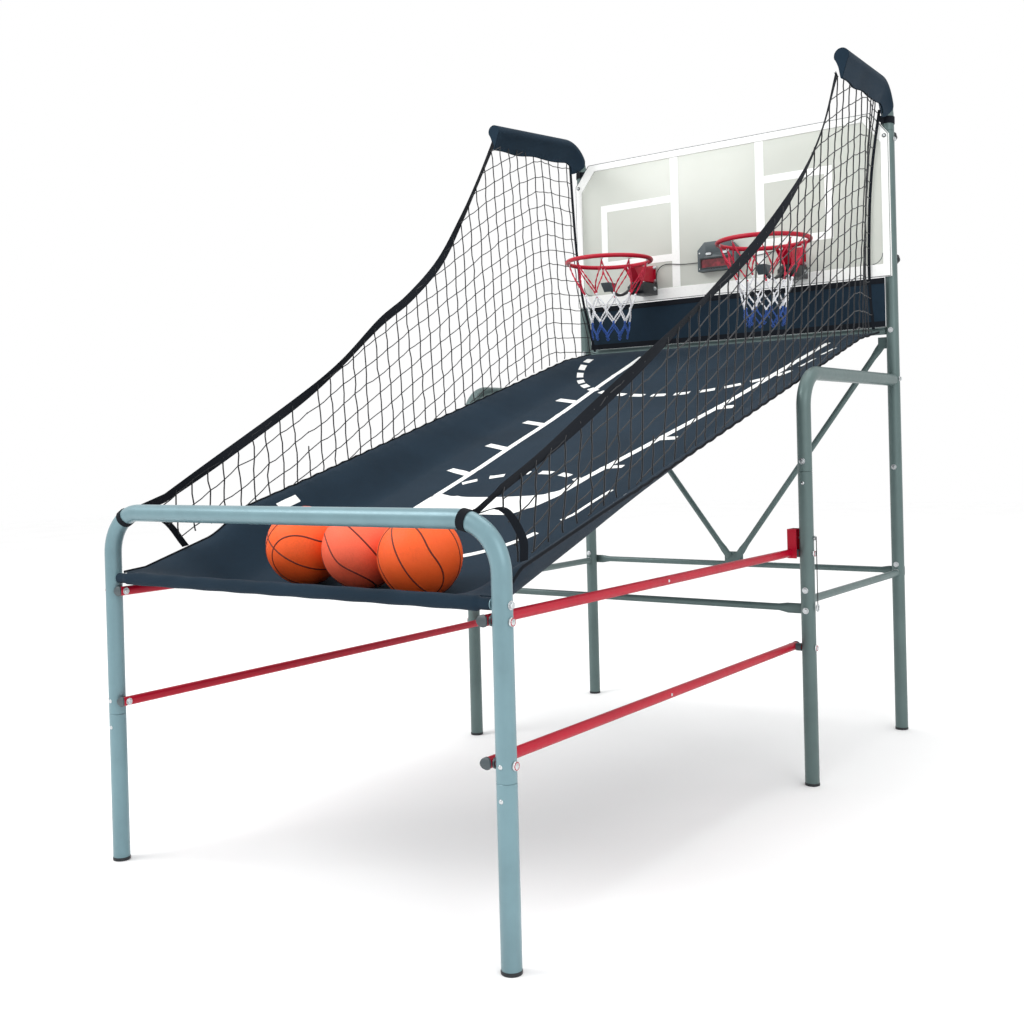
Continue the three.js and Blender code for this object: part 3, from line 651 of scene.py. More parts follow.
# ---- cords: first, with their routes repeated from the frame -----------------------------
def cord_curve(name, points, diameter):
    curve = bpy.data.curves.new(name, "CURVE")
    curve.dimensions = "3D"
    curve.bevel_depth = diameter / 2
    curve.bevel_resolution = 4
    curve.resolution_u = 6
    curve.use_fill_caps = True
    line = curve.splines.new("POLY")
    line.points.add(len(points) - 1)
    for point, place in zip(line.points, points):
        point.co = (*place, 1.0)
    curve.materials.append(LOOKS["plastic_black"])
    cord = add_object(name, curve)
    return cord


def smooth_path(points, steps=6):
    """Catmull-Rom line through the points."""
    points = [Vector(p) for p in points]
    ends = [2 * points[0] - points[1], *points, 2 * points[-1] - points[-2]]
    path = []
    for a, b, c, d in zip(ends, ends[1:], ends[2:], ends[3:]):
        for k in range(steps):
            t = k / steps
            path.append(0.5 * (2 * b + (c - a) * t + (2 * a - 5 * b + 4 * c - d) * t * t
                               + (3 * b - a - 3 * c + d) * t ** 3))
    path.append(points[-1])
    return path


def path_length(points):
    return sum((b - a).length for a, b in zip(points, points[1:]))


LEAD_Y = 1.003
LEAD_ROUTE = [                   # x and z, on the right
    (0.0714, 1.536), (0.110, 1.5365), (0.140, 1.5375), (0.165, 1.540), (0.188, 1.5435),
    (0.208, 1.5445), (0.224, 1.541), (0.236, 1.533), (0.244, 1.522), (0.248, 1.508),
    (0.249, 1.494), (0.249, 1.4803),
]


def add_leads():
    """Signal leads, from the score unit's sides to the switch boxes under the hoops."""
    diameter = 0.003
    for side, s in SIDES:
        points = smooth_path([(s * x, LEAD_Y, z) for x, z in LEAD_ROUTE])
        lead = cord_curve(f"signal_lead_{side}", points, diameter)
        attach(lead, "rear_frame")
        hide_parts(f"lead_{side}")


def add_lanyards():
    """Cords that keep the lock pins from getting lost, each with its ring."""
    length = 0.178
    diameter = 0.0025
    x = 0.58685
    top = 0.662
    ring_r = 0.008
    for side, s in SIDES:
        body = f"pin_{side}"
        points = [(s * x, LOCK_Y, top - length * i / 20) for i in range(21)]
        cord = cord_curve(f"pin_lanyard_{side}", points, diameter)
        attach(cord, body)
        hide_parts(f"lanyard_{side}")
        centre = Vector((s * x, LOCK_Y, top - length - 0.0003 - ring_r - 0.0025))
        circle = [centre + Vector((0, math.cos(a), math.sin(a))) * ring_r
                  for a in between(0, math.tau, 40)[:-1]]
        ring = make(f"pin_ring_{side}", tube(circle, 0.0024, 16, closed=True), "zinc_steel", body,
                    [f"lanyard_ring_{side}"])


# ---- steel frame -------------------------------------------------------------------------
def footed(x, y, seam_z):
    """Lower length of a leg, with the neck that plugs into the tube above."""
    neck = 0.0169
    path = [(x, y, 0.0), (x, y, 0.0015), (x, y, seam_z - SEAM - 0.001), (x, y, seam_z - SEAM),
            (x, y, seam_z - SEAM), (x, y, seam_z + 0.03)]
    return tube(path, [LEG_R - 0.001, LEG_R, LEG_R, LEG_R - 0.0008, neck, neck], 40)


def arm_corners(s):
    return [(s * REAR_X, REAR_Y, POST_TOP_Z), (s * REAR_X, REAR_Y, ARM_REAR_Z),
            (s * ARM_TIP[0], ARM_TIP[1], ARM_TIP_Z)]


def add_rear_frame():
    for side, s in SIDES:
        x = s * REAR_X
        post = [(x, REAR_Y, 0), (x, REAR_Y, POST_TOP_Z - SEAM)]
        bow = [(s * SIDE_X, SIDE_Y, SIDE_SEAM_Z), (s * SIDE_X, SIDE_Y, J_Z),
               (x, REAR_Y - LEG_R - SEAM, J_Z)]
        rail = [(s * SIDE_X, SIDE_Y + LEG_R + SEAM, SIDE_RAIL_Z),
                (x, REAR_Y - LEG_R - SEAM, SIDE_RAIL_Z)]
        for name, shape, node in (
                ("post_tube", pipe(post, LEG_R), "rear_post"),
                ("arm_tube", pipe(bent(arm_corners(s), ARM_BEND_R), LEG_R), "net_arm"),
                ("side_bow", pipe(bent(bow, BEND_R), LEG_R), "side_leg_upper"),
                ("side_foot", footed(s * SIDE_X, SIDE_Y, SIDE_SEAM_Z), "side_leg_lower"),
                ("side_tie", pipe(rail, RAIL_R, 28, 0.0004), "side_rail")):
            make(f"{name}_{side}", shape, "paint_dark", "rear_frame", [f"{node}_{side}"])
    reach = REAR_X - LEG_R - SEAM
    bar = [(-reach, REAR_Y, TOP_BAR_Z), (reach, REAR_Y, TOP_BAR_Z)]
    make("ramp_bar", pipe(bar, 0.0125, 32), "paint_dark", "rear_frame", ["ramp_top_bar"])
    make("cross_tube_front", cross_tube(SIDE_X - 0.032, SIDE_Y, CROSS_FRONT_Z), "paint_dark",
         "rear_frame", ["crossbar_front"], bevel=0.0006)
    make("cross_tube_rear", cross_tube(REAR_X, REAR_Y, CROSS_REAR_Z), "paint_dark", "rear_frame",
         ["crossbar_rear"], bevel=0.0006)
    for side, s in SIDES:
        make(f"brace_tube_{side}", brace_tube(s), "paint_dark", "rear_frame", [f"brace_{side}"])
    make("brace_lugs", brace_lugs(), "paint_dark", "rear_frame", bevel=0.0005)


def pressed_tube(stations, across, flat_half):
    """Brace tube along (centre, share) stations; share says how far it is pressed flat there."""
    sides = 28
    verts = []
    for centre, share in stations:
        half_t = BRACE_R + (PRESSED_T / 2 - BRACE_R) * share
        half_h = BRACE_R + (flat_half - BRACE_R) * share
        for k in range(sides):
            a = math.tau * k / sides
            verts.append(centre + Vector((0, half_t * math.cos(a), 0)) + across * (half_h * math.sin(a)))
    return verts, ring_faces(len(stations), sides)


def cross_tube(half_x, leg_y, z):
    """Crossbar whose ends are pressed flat against the back of a pair of legs."""
    flat = 0.046
    face = leg_y + LEG_R + SEAM
    stations = []
    for out, share in ((0.014, 1.0), (0.012 - flat, 1.0), (-0.016 - flat, 0.0)):
        y = face + BRACE_R + (PRESSED_T / 2 - BRACE_R) * share
        stations.append((Vector((-half_x - out, y, z)), share))
    stations += [(Vector((-at.x, at.y, z)), share) for at, share in reversed(stations)]
    return pressed_tube(stations, Vector(UPWARD), 0.014)


def brace_tube(s):
    """Diagonal from the middle of the rear crossbar to the head of a post, ends pressed flat."""
    foot, head = (Vector((s * x, REAR_Y + BRACE_BACK, z)) for x, z in (BRACE_FOOT, BRACE_HEAD))
    along = (head - foot).normalized()
    stations = [(foot, 1.0), (foot + along * 0.034, 1.0), (foot + along * 0.060, 0.0),
                (head - along * 0.060, 0.0), (head - along * 0.034, 1.0), (head, 1.0)]
    return pressed_tube(stations, Vector(BACKWARD).cross(along), 0.0125)


def brace_lugs():
    """Welded plates that the braces are bolted to: one on the crossbar and one on either post."""
    foot = [(0.0113, 0.541), (0.0143, 0.541), (0.0143, 0.512), (0.0205, 0.507), (0.0205, 0.489),
            (0.0113, 0.489)]
    lugs = [prism([(REAR_Y + y, z) for y, z in foot], lengthwise(-0.034), 0.068)]
    for _, s in SIDES:
        x0, x1 = sorted((s * 0.518, s * 0.5495))
        lugs.append(slab(x0, x1, REAR_Y + 0.003, REAR_Y + 0.0057, 1.200, 1.236))
    return joined(lugs)


def add_front_frame():
    corners = [(-FRONT_X, FRONT_Y, FRONT_SEAM_Z), (-FRONT_X, FRONT_Y, BOW_Z),
               (FRONT_X, FRONT_Y, BOW_Z), (FRONT_X, FRONT_Y, FRONT_SEAM_Z)]
    make("bow_tube", pipe(bent(corners, BEND_R), LEG_R), "paint_light", "front_frame", ["front_bow"])
    for side, s in SIDES:
        make(f"front_foot_{side}", footed(s * FRONT_X, FRONT_Y, FRONT_SEAM_Z), "paint_light",
             "front_frame", [f"front_leg_{side}"])
    reach = FRONT_X - LEG_R - SEAM
    make("tray_bar", pipe([(-reach, FRONT_Y, TRAY_Z), (reach, FRONT_Y, TRAY_Z)], 0.011, 28),
         "paint_light", "front_frame", ["tray_tube"])


def add_rails():
    """Red rails that swing the front frame up, with their plugs and spacers."""
    for level, z in (("upper", RAIL_UP_Z), ("lower", RAIL_LOW_Z)):
        body = f"{level}_rails"
        plugs, spacers, heads = [], [], []
        for side, s in SIDES:
            finish_node(f"{level}_rail_{side}", "paint_red")
            x = s * RAIL_X
            plugs.append(rail_cap(x, z))
            end = (x, SIDE_Y + 0.022, z)
            plugs.append(turned([(0, -0.004), (RAIL_PLUG_R, -0.004), (RAIL_PLUG_R, 0.0008),
                                 (RAIL_R - 0.001, 0.0024), (0, 0.003)], end, BACKWARD))
            for leg_x, y in ((FRONT_X, FRONT_Y), (SIDE_X, SIDE_Y)):
                inner = RAIL_X + RAIL_R - 0.0005
                outer = leg_x - LEG_R - SEAM
                wide = outer - inner
                spacers.append(turned(collar(0.0086, 0.0104, 0, wide), (s * inner, y, z), (s, 0, 0)))
                heads.append(dome((s * (leg_x + LEG_R + SEAM), y, z), (s, 0, 0), 0.0088, 0.0056))
                heads.append(bolt((s * (RAIL_X - RAIL_R + 0.0006), y, z), (-s, 0, 0), 0.006, 0.004))
            rivet = (s * (RAIL_X + RAIL_R - 0.0006), RIVET_Y, z)
            heads.append(dome(rivet, (s, 0, 0), 0.0035, 0.002))
        make(f"{level}_rail_plugs", joined(plugs), "plastic_grey", body)
        make(f"{level}_rail_spacers", joined(spacers), "plastic_grey", body, bevel=0.0004)
        make(f"{level}_rail_bolts", joined(heads), "zinc_steel", body)


def rail_cap(x, z):
    """Cap on a rail's front end, rounded about the rail's pivot."""
    sides = 32
    verts = []
    shares = (0.2, 0.4, 0.6, 0.8, 0.93, 1.0, 1.0)
    for i, share in enumerate(shares):
        back = 0.0035 if i == len(shares) - 1 else 0.0
        for k in range(sides):
            a = math.tau * k / sides
            dz = share * RAIL_PLUG_R * math.sin(a)
            reach = math.sqrt(RAIL_NOSE_R ** 2 - dz * dz) + 0.0004
            verts.append(Vector((x + share * RAIL_PLUG_R * math.cos(a), FRONT_Y - reach + back, z + dz)))
    return verts, ring_faces(len(shares), sides)


def seam_screw(x, y, z):
    """Small round head that holds two lengths of a leg together."""
    return dome((x, y - HEAD_SEAT, z), FORWARD, 0.0045, 0.0025)


def add_hardware():
    """Bolt heads, seam screws and foot plugs of the two frames, and the finish of the lock pins."""
    rear, front, plugs, front_plugs = [], [], [], []
    for _, s in SIDES:
        side_x, rear_x, front_x = s * SIDE_X, s * REAR_X, s * FRONT_X
        for z in (CROSS_FRONT_Z, 0.520, SIDE_SEAM_Z + 0.028):
            rear.append(bolt((side_x, SIDE_Y - HEAD_SEAT, z), FORWARD))
        rear.append(seam_screw(side_x, SIDE_Y, SIDE_SEAM_Z - 0.030))
        for z in (CROSS_REAR_Z, 0.520, 0.826, J_Z, TOP_BAR_Z, 1.855):
            rear.append(bolt((rear_x, REAR_Y - HEAD_SEAT, z), FORWARD))
        for z in (J_Z + 0.003, 1.852):
            rear.append(bolt((s * (REAR_X + HEAD_SEAT), REAR_Y, z), (s, 0, 0)))
        for place in ((rear_x, REAR_Y + LEG_R + 0.0055, CROSS_REAR_Z),
                      (s * (SIDE_X - 0.034), SIDE_Y + LEG_R + 0.0052, CROSS_FRONT_Z),
                      (s * 0.020, REAR_Y + 0.0108, 0.530), (s * 0.530, REAR_Y + 0.0108, 1.214),
                      (side_x, SIDE_Y + HEAD_SEAT, SIDE_SEAM_Z + 0.028)):
            rear.append(bolt(place, BACKWARD))
        front.append(bolt((s * (FRONT_X + HEAD_SEAT), FRONT_Y, TRAY_Z), (s, 0, 0)))
        for dz in (0.030, -0.030):
            front.append(seam_screw(front_x, FRONT_Y, FRONT_SEAM_Z + dz))
        plug = [(0, 0), (LEG_R + 0.0004, 0), (LEG_R + 0.0007, 0.001), (LEG_R + 0.0007, 0.006),
                (LEG_R + 0.0001, 0.007), (0, 0.007)]
        plugs += [turned(plug, place, UPWARD, 40) for place in ((side_x, SIDE_Y, 0), (rear_x, REAR_Y, 0))]
        front_plugs.append(turned(plug, (front_x, FRONT_Y, 0), UPWARD, 40))
    make("frame_bolts", joined(rear), "zinc_steel", "rear_frame")
    make("front_bolts", joined(front), "zinc_steel", "front_frame")
    make("rear_foot_plugs", joined(plugs), "plastic_black", "rear_frame")
    make("front_foot_plugs", joined(front_plugs), "plastic_black", "front_frame")
    for side, _ in SIDES:
        finish_node(f"lock_pin_{side}", "zinc_steel", 0.0004)


# ---- backboard ---------------------------------------------------------------------------
def board_outline(inset, inset_bottom):
    half = BOARD_HI.x - inset
    cut_x, cut_z = 0.056, 0.072
    top = BOARD_HI.z - inset
    bottom = BOARD_LO.z + inset_bottom
    return [(-half, bottom), (half, bottom), (half, top - cut_z), (half - cut_x, top),
            (-half + cut_x, top), (-half, top - cut_z)]


def ring_plate(outer, inner, y0, y1):
    """Flat frame between two outlines of as many corners."""
    n = len(outer)
    verts = [Vector((x, y, z)) for y in (y0, y1) for line in (outer, inner) for x, z in line]
    faces = []
    for i in range(n):
        j = (i + 1) % n
        faces.append([i, j, n + j, n + i])
        faces.append([2 * n + i, 2 * n + j, 3 * n + j, 3 * n + i])
        faces.append([i, j, 2 * n + j, 2 * n + i])
        faces.append([n + i, n + j, 3 * n + j, 3 * n + i])
    return verts, faces


def bar_mark(x0, z0, x1, z1, width):
    """Outline of a straight printed line on the board."""
    along = Vector((x1 - x0, z1 - z0)).normalized()
    side = Vector((-along.y, along.x)) * (width / 2)
    return [(x0 + side.x, z0 + side.y), (x0 - side.x, z0 - side.y),
            (x1 - side.x, z1 - side.y), (x1 + side.x, z1 + side.y)]


def add_board():
    front = BOARD_LO.y
    inner = board_outline(0.025, 0.040)
    make("board_edge", ring_plate(board_outline(0, 0), inner, front, BOARD_HI.y), "board_white",
         "rear_frame", ["board_border"], bevel=0.0012)
    lip = ring_plate(board_outline(0.0006, 0.0006), board_outline(0.0022, 0.0022), front - 0.0004,
                     front + 0.0006)
    make("board_trim", lip, "plastic_grey", "rear_frame")
    finish_node("board_panel", "board_panel", 0.0006)
    left, right = -0.172, 0.145          # inner uprights, and the outer side of each target
    far_left, far_right = -0.458, 0.380
    top, bottom = BOARD_HI.z - 0.026, BOARD_LO.z + 0.041
    wide, thin = 0.030, 0.025            # the uprights and the lines of the targets
    lines = [(left, bottom, left, top, wide), (right, bottom, right, top, wide)]
    for near, far, low, high in ((left - wide / 2, far_left, 1.568, 1.772),
                                 (right + wide / 2, far_right, 1.575, 1.785)):
        corner = far + math.copysign(thin / 2, far)
        lines += [(corner, low, near, low, thin), (corner, high, near, high, thin),
                  (far, low + thin / 2, far, high - thin / 2, thin)]
    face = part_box("board_panel")[0].y
    marks = [prism(bar_mark(*line), upright(face - 0.0006), 0.0006) for line in lines]
    make("board_marks", joined(marks), "board_white", "rear_frame")
    make("board_corner_lines", joined([corner_line(s, face) for _, s in SIDES]), "plastic_grey",
         "rear_frame")
    screws, nuts = [], []
    for _, s in SIDES:
        at = (s * (BOARD_HI.x - 0.0125), front, 1.862)
        nuts.append(turned(collar(0, 0.0062, 0, 0.0016), at, FORWARD))
        screws.append(dome((at[0], front - 0.0015, at[2]), FORWARD, 0.0042, 0.0022))
    make("board_screws", joined(screws), "zinc_steel", "rear_frame")
    make("board_screw_rings", joined(nuts), "plastic_black", "rear_frame")
    for side, s in SIDES:
        for level, z in (("low", 1.482), ("high", 1.868)):
            make(f"knob_{level}_{side}", knob(s * REAR_X, z), "plastic_black", "rear_frame",
                 [f"board_knob_{level}_{side}"])


def corner_line(s, face):
    """Thin curved line in a lower corner of the panel."""
    radius, width = 0.034, 0.0022
    x = s * (BOARD_HI.x - 0.025 - radius)
    z = BOARD_LO.z + 0.040 + radius
    outer, inner = [[(x + s * r * math.cos(a), z + r * math.sin(a)) for a in between(-math.pi / 2, 0, 12)]
                    for r in (radius, radius - width)]
    return prism(outer + inner[::-1], upright(face - 0.0004), 0.0004)


def knob(x, z):
    """Lobed hand nut behind a post."""
    base = REAR_Y + LEG_R + SEAM
    foot = turned(collar(0, 0.005, 0, 0.009), (x, base, z), BACKWARD)
    grip = turned([(0, 0.008), (0.014, 0.008), (0.0168, 0.0105), (0.0172, 0.018), (0.0155, 0.0225),
                   (0.009, 0.0245), (0, 0.0247)], (x, base, z), BACKWARD, 72, 6, 0.045)
    return joined([foot, grip])


# ---- hoops -------------------------------------------------------------------------------
def circle_points(x, y, z, radius, count):
    return [Vector((x + radius * math.cos(a), y + radius * math.sin(a), z))
            for a in between(0, math.tau, count)[:-1]]


def hook_angle(k):
    return math.pi / 2 + math.tau * k / HOOK_COUNT


def net_point(x, angle, radius, z):
    return Vector((x + radius * math.cos(angle), HOOP_Y + radius * math.sin(angle), z))


def twisted_pair(path, radius, offset, turns):
    """Two cords wound round each other along a path."""
    shapes = []
    for phase in (0.0, math.pi):
        points = []
        for i, p in enumerate(path):
            along = heading(path, i)
            side = along.cross(Vector((0.31, 0.87, 0.38))).normalized()
            other = along.cross(side)
            a = phase + math.tau * turns * i / (len(path) - 1)
            points.append(p + (side * math.cos(a) + other * math.sin(a)) * offset)
        shapes.append(tube(points, radius, 7))
    return shapes


def net_leg(x, from_angle, to_angle, r0, r1, z0, z1, bow):
    """Cord from one knot to the next, slack enough to bow outwards."""
    path = []
    for t in between(0.0, 1.0, 22):
        swing = from_angle + (to_angle - from_angle) * (t * t * (3 - 2 * t))
        radius = r0 + (r1 - r0) * t + bow * math.sin(math.pi * t)
        path.append(net_point(x, swing, radius, z0 + (z1 - z0) * t))
    return twisted_pair(path, 0.0015, 0.0013, 3)


def hoop_net(x):
    """Knotted cords of a hoop net, in its three colours."""
    pitch = math.tau / HOOK_COUNT
    levels = [("cord_red", 0.1330, 1.5235, 0.0845, 1.417, 0.004, 0.0),
              ("cord_white", 0.0845, 1.417, 0.0710, 1.370, 0.0015, 0.5),
              ("cord_white", 0.0710, 1.370, 0.0630, 1.324, 0.001, 0.0),
              ("cord_blue", 0.0630, 1.324, *NET_FOOT, 0.002, 0.5)]
    shapes = {"cord_red": [], "cord_white": [], "cord_blue": []}
    for number, (look, r0, z0, r1, z1, bow, start) in enumerate(levels):
        for k in range(HOOK_COUNT):
            a = hook_angle(k + start)
            drift = 0.006 * wobble(k, number)
            for turn in (-0.5, 0.5):
                shapes[look] += net_leg(x, a, a + turn * pitch, r0, r1 + drift * 0.2, z0, z1, bow)
            if number > 0:
                knot = net_point(x, a, r0, z0)
                shapes[look].append(turned([(0, -0.0042), (0.0034, -0.003), (0.0043, 0),
                                            (0.0034, 0.003), (0, 0.0042)], knot, (0, 0.2, 1), 12))
    for k in range(HOOK_COUNT):
        a = hook_angle(k)
        ends = [net_point(x, a + turn * 0.10, *NET_FOOT) for turn in (-1, 1)]
        low = net_point(x, a, 0.0585, 1.273)
        shapes["cord_blue"] += twisted_pair(smooth_path([ends[0], low, ends[1]]), 0.00135, 0.00115, 1)
    return shapes


def hooks(x):
    """Small wire loops under the ring."""
    shapes = []
    for k in range(HOOK_COUNT):
        a = hook_angle(k)
        out = Vector((math.cos(a), math.sin(a), 0))
        side = Vector((-math.sin(a), math.cos(a), 0))
        foot = net_point(x, a, HOOP_R - 0.0062, HOOP_Z - 0.004)
        path = [foot + side * 0.0055 * math.cos(t) - Vector((0, 0, 0.0075)) * math.sin(t)
                - out * 0.0015 * math.sin(t) for t in between(0, math.pi, 10)]
        shapes.append(tube(path, 0.0013, 8))
    return joined(shapes)


def bracket(x):
    """Folded red bracket between the ring and the board."""
    plate_front = BRACKET_FACE
    back = HOOP_Y + HOOP_R - 0.006
    nose_foot = plate_front - 0.094
    top = HOOP_Z + 0.003
    low = 1.482
    half = 0.0175
    cheek = [(back, top), (plate_front + 0.001, top), (plate_front + 0.001, low + 0.006),
             (nose_foot, low), (back, 1.524)]
    nose = [(back, 1.524), (back + 0.003, 1.527), (nose_foot + 0.004, low + 0.003), (nose_foot, low)]
    return joined([
        prism(cheek, lengthwise(x - half - 0.0015), 0.003),
        prism(cheek, lengthwise(x + half - 0.0015), 0.003),
        prism(nose, lengthwise(x - half), 2 * half),
        slab(x - half - 0.0015, x + half + 0.0015, back - 0.002, plate_front + 0.001,
             top - 0.002, top + 0.001),
        slab(x - 0.025, x + 0.025, plate_front, plate_front + 0.003, low, HOOP_Z + 0.014),
    ])


def add_hoops():
    for side, s in SIDES:
        x = s * HOOP_X
        circle = circle_points(x, HOOP_Y, HOOP_Z, HOOP_R, 128)
        make(f"ring_{side}", tube(circle, HOOP_WIRE_R, 24, closed=True), "paint_red", "rear_frame",
             [f"rim_{side}"])
        make(f"bracket_{side}", bracket(x), "paint_red", "rear_frame", bevel=0.0009)
        make(f"net_hooks_{side}", hooks(x), "plastic_light", "rear_frame")
        heads = [bolt((x + dx, BRACKET_FACE, z), FORWARD, 0.0052, 0.004) for dx, z in BRACKET_BOLTS]
        heads += [bolt((x + dx, BOARD_HI.y, z), BACKWARD, 0.006, 0.005) for dx, z in BRACKET_BOLTS]
        make(f"bracket_bolts_{side}", joined(heads), "zinc_steel", "rear_frame")
        for colour, shapes in hoop_net(x).items():
            make(f"net_{colour[5:]}_{side}", joined(shapes), colour, "rear_frame",
                 [f"hoop_net_{side}"] if colour == "cord_red" else [], sharp=60)
        add_switch(side, x)


def add_switch(side, x):
    """Switch box under the bracket, and the lever that a ball pushes down."""
    finish_node(f"score_sensor_{side}", "plastic_black", 0.0012)
    screws = [bolt((x + dx, 0.9215, 1.4800), UPWARD, 0.003, 0.002, washer=False)
              for dx in (-0.022, 0.022)]
    screws.append(bolt((x + 0.0300, 0.985, 1.462), (1, 0, 0), 0.0058, 0.0045))
    make(f"switch_screws_{side}", joined(screws), "zinc_steel", "rear_frame")
    pivot = Vector((x, 0.890, 1.468))
    body = f"paddle_{side}"
    ends = (Vector((x, 0.728, 1.452)), Vector((x, 0.781, 1.390)), pivot)
    arm_points = [ends[0] * (1 - t) ** 2 + ends[1] * 2 * t * (1 - t) + ends[2] * t * t
                  for t in between(0, 1, 18)]
    flats = [(1, 0, 0)] * len(arm_points)
    arm = [ribbon(arm_points, flats, 0.009, 0.0085)]
    arm.append(turned([(0, -0.0085), (0.0085, -0.0085), (0.0095, -0.0075), (0.0095, 0.0075),
                       (0.0085, 0.0085), (0, 0.0085)], pivot + Vector((0, -0.001, 0)), (1, 0, 0), 28))
    make(f"lever_{side}", joined(arm), "plastic_black", body, [f"score_paddle_{side}"], bevel=0.001)
    flag = [(0.696, 1.459), (0.744, 1.459), (0.734, 1.441), (0.720, 1.429)]
    make(f"lever_flag_{side}", prism(flag, lengthwise(x - 0.017), 0.034), "plastic_grey", body,
         bevel=0.0018)


# ---- score unit --------------------------------------------------------------------------
def add_score_unit():
    finish_node("score_housing", "plastic_grey", 0.0016)
    finish_node("score_window", "window_red", 0.0004)
    lo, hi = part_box("score_window")
    house_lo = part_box("score_housing")[0]
    front = house_lo.y
    def frame_line(grow):
        return [(lo.x - grow, lo.z - grow), (hi.x + grow, lo.z - grow),
                (hi.x + grow, hi.z + grow), (lo.x - grow, hi.z + grow)]
    bezel = ring_plate(frame_line(0.0055), frame_line(0.0003), front - 0.0014, front + 0.001)
    make("score_bezel", bezel, "plastic_black", "rear_frame", bevel=0.0006)
    digits = []
    for x in (-0.042, -0.022, 0.022, 0.042):
        digits += digit_segments(x, (lo.z + hi.z) / 2, lo.y - 0.0003)
    make("score_digits", joined(digits), "window_red", "rear_frame")
    grille = []
    z = house_lo.z + 0.006
    for x in between(-0.020, 0.020, 4):
        grille.append(slab(x - 0.003, x + 0.003, front - 0.0005, front + 0.0004, z - 0.0009, z + 0.0009))
    make("score_grille", joined(grille), "plastic_black", "rear_frame")
    screws = [dome((s * 0.064, front + 0.0002, z), FORWARD, 0.0028, 0.0012)
              for _, s in SIDES for z in (house_lo.z + 0.008, house_lo.z + 0.062)]
    make("score_screws", joined(screws), "zinc_steel", "rear_frame")
    for side, _ in SIDES:
        finish_node(f"score_button_{side}", "plastic_light", 0.001)
        button_lo, button_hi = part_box(f"score_button_{side}")
        middle_x = (button_lo.x + button_hi.x) / 2
        middle_z = (button_lo.z + button_hi.z) / 2
        ring = stadium_ring(middle_x, middle_z, front, 0.0104, 0.0044, 0.0016)
        make(f"button_collar_{side}", ring, "plastic_black", "rear_frame")
    relief = []
    (first_x, first_z), (last_x, last_z) = LEAD_ROUTE[0], LEAD_ROUTE[-1]
    for _, s in SIDES:
        relief.append(turned([(0, 0), (0.0042, 0), (0.0036, 0.003), (0.0022, 0.0105), (0, 0.0105)],
                             (s * (first_x - 0.0005), LEAD_Y, first_z), (s, 0, 0), 20))
        relief.append(turned([(0, 0), (0.0038, 0), (0.0034, 0.003), (0.0022, 0.009), (0, 0.009)],
                             (s * last_x, LEAD_Y, last_z - 0.0003), UPWARD, 20))
    make("lead_grommets", joined(relief), "plastic_black", "rear_frame")


def digit_segments(x, z, y):
    """Seven bars of one display digit."""
    half, tall, bar = 0.0055, 0.0090, 0.0012
    places = [(0, tall, True), (0, 0, True), (0, -tall, True), (-half, tall / 2, False),
              (half, tall / 2, False), (-half, -tall / 2, False), (half, -tall / 2, False)]
    shapes = []
    for dx, dz, level in places:
        long_half = half - 0.0012 if level else tall / 2 - 0.0012
        wide, high = (long_half, bar / 2) if level else (bar / 2, long_half)
        shapes.append(slab(x + dx - wide, x + dx + wide, y, y + 0.0003, z + dz - high, z + dz + high))
    return shapes


def stadium_ring(x, z, front, half_length, radius, wall):
    """Raised collar round an oblong button."""
    def line(grow):
        r = radius + grow
        run = half_length - radius
        half_turn = between(-math.pi / 2, math.pi / 2, 10)
        right = [(x + run + r * math.cos(a), z + r * math.sin(a)) for a in half_turn]
        left = [(x - run - r * math.cos(a), z - r * math.sin(a)) for a in half_turn]
        return right + left
    return ring_plate(line(wall), line(0.0), front - 0.001, front + 0.0006)


# ---- ramp --------------------------------------------------------------------------------
def ramp_height(x, y):
    """Middle of the ramp's cloth: a taut run, a pocket for the balls, edges held up by the nets."""
    lead = 0.014                     # the cloth leaves the tray bar this far behind its centre
    run = y - FRONT_Y - lead
    length = RAMP_BACK - FRONT_Y - lead
    top = TOP_BAR_Z - 0.007
    t = min(1.0, max(0.0, run / length))
    start = TRAY_Z + 0.011
    rear_slope, front_slope = 0.346, 0.276
    rear = top - rear_slope * (length - run)
    front = start - front_slope * run
    soft = 0.005                     # how softly the two slopes meet
    high = max(rear, front)
    floor = high + soft * math.log(math.exp((rear - high) / soft) + math.exp((front - high) / soft))
    edge = eased(abs(x) / RAMP_HALF, 0.7, 1.0)
    first, last = (-0.80, -0.66) if x < 0 else (-1.04, -0.96)
    held = eased(y, first, last)
    rim = start + (top - start) * t + 0.022 * held * min(1.0, (1 - t) / 0.08)
    rim -= 0.012 * (1 - held) * min(1.0, run / 0.06)
    return floor + (rim - floor) * edge


def ramp_surface(x, y):
    """Cloth with its folding creases, slack ripples and scalloped edges."""
    z = ramp_height(x, y)
    calm = eased(y, -0.70, -0.45) * (1 - eased(y, 0.90, 1.0))
    inside = 1 - eased(abs(x), 0.42, 0.52)
    for crease_x in (-0.135, 0.135):
        z += 0.0016 * calm * math.exp(-((x - crease_x) / 0.007) ** 2)
    for crease_y in (-0.12, 0.34, 0.72):
        z += 0.0012 * calm * inside * math.exp(-((y - crease_y - 0.02 * x) / 0.008) ** 2)
    ripple = math.sin(9 * y + 5 * x) * math.cos(7 * x - 3 * y)
    z += 0.0022 * calm * inside * ripple
    held = eased(abs(x), 0.44, 0.53) * (1 - inside)
    z -= 0.0030 * held * calm * abs(math.sin(math.pi * y / NET_ROW))
    return Vector((x, y, z))


def ramp_columns():
    inner = between(-0.36, 0.36, 36)
    wing = between(0.36, RAMP_HALF, 20)[1:]
    return [-x for x in reversed(wing)] + inner + wing


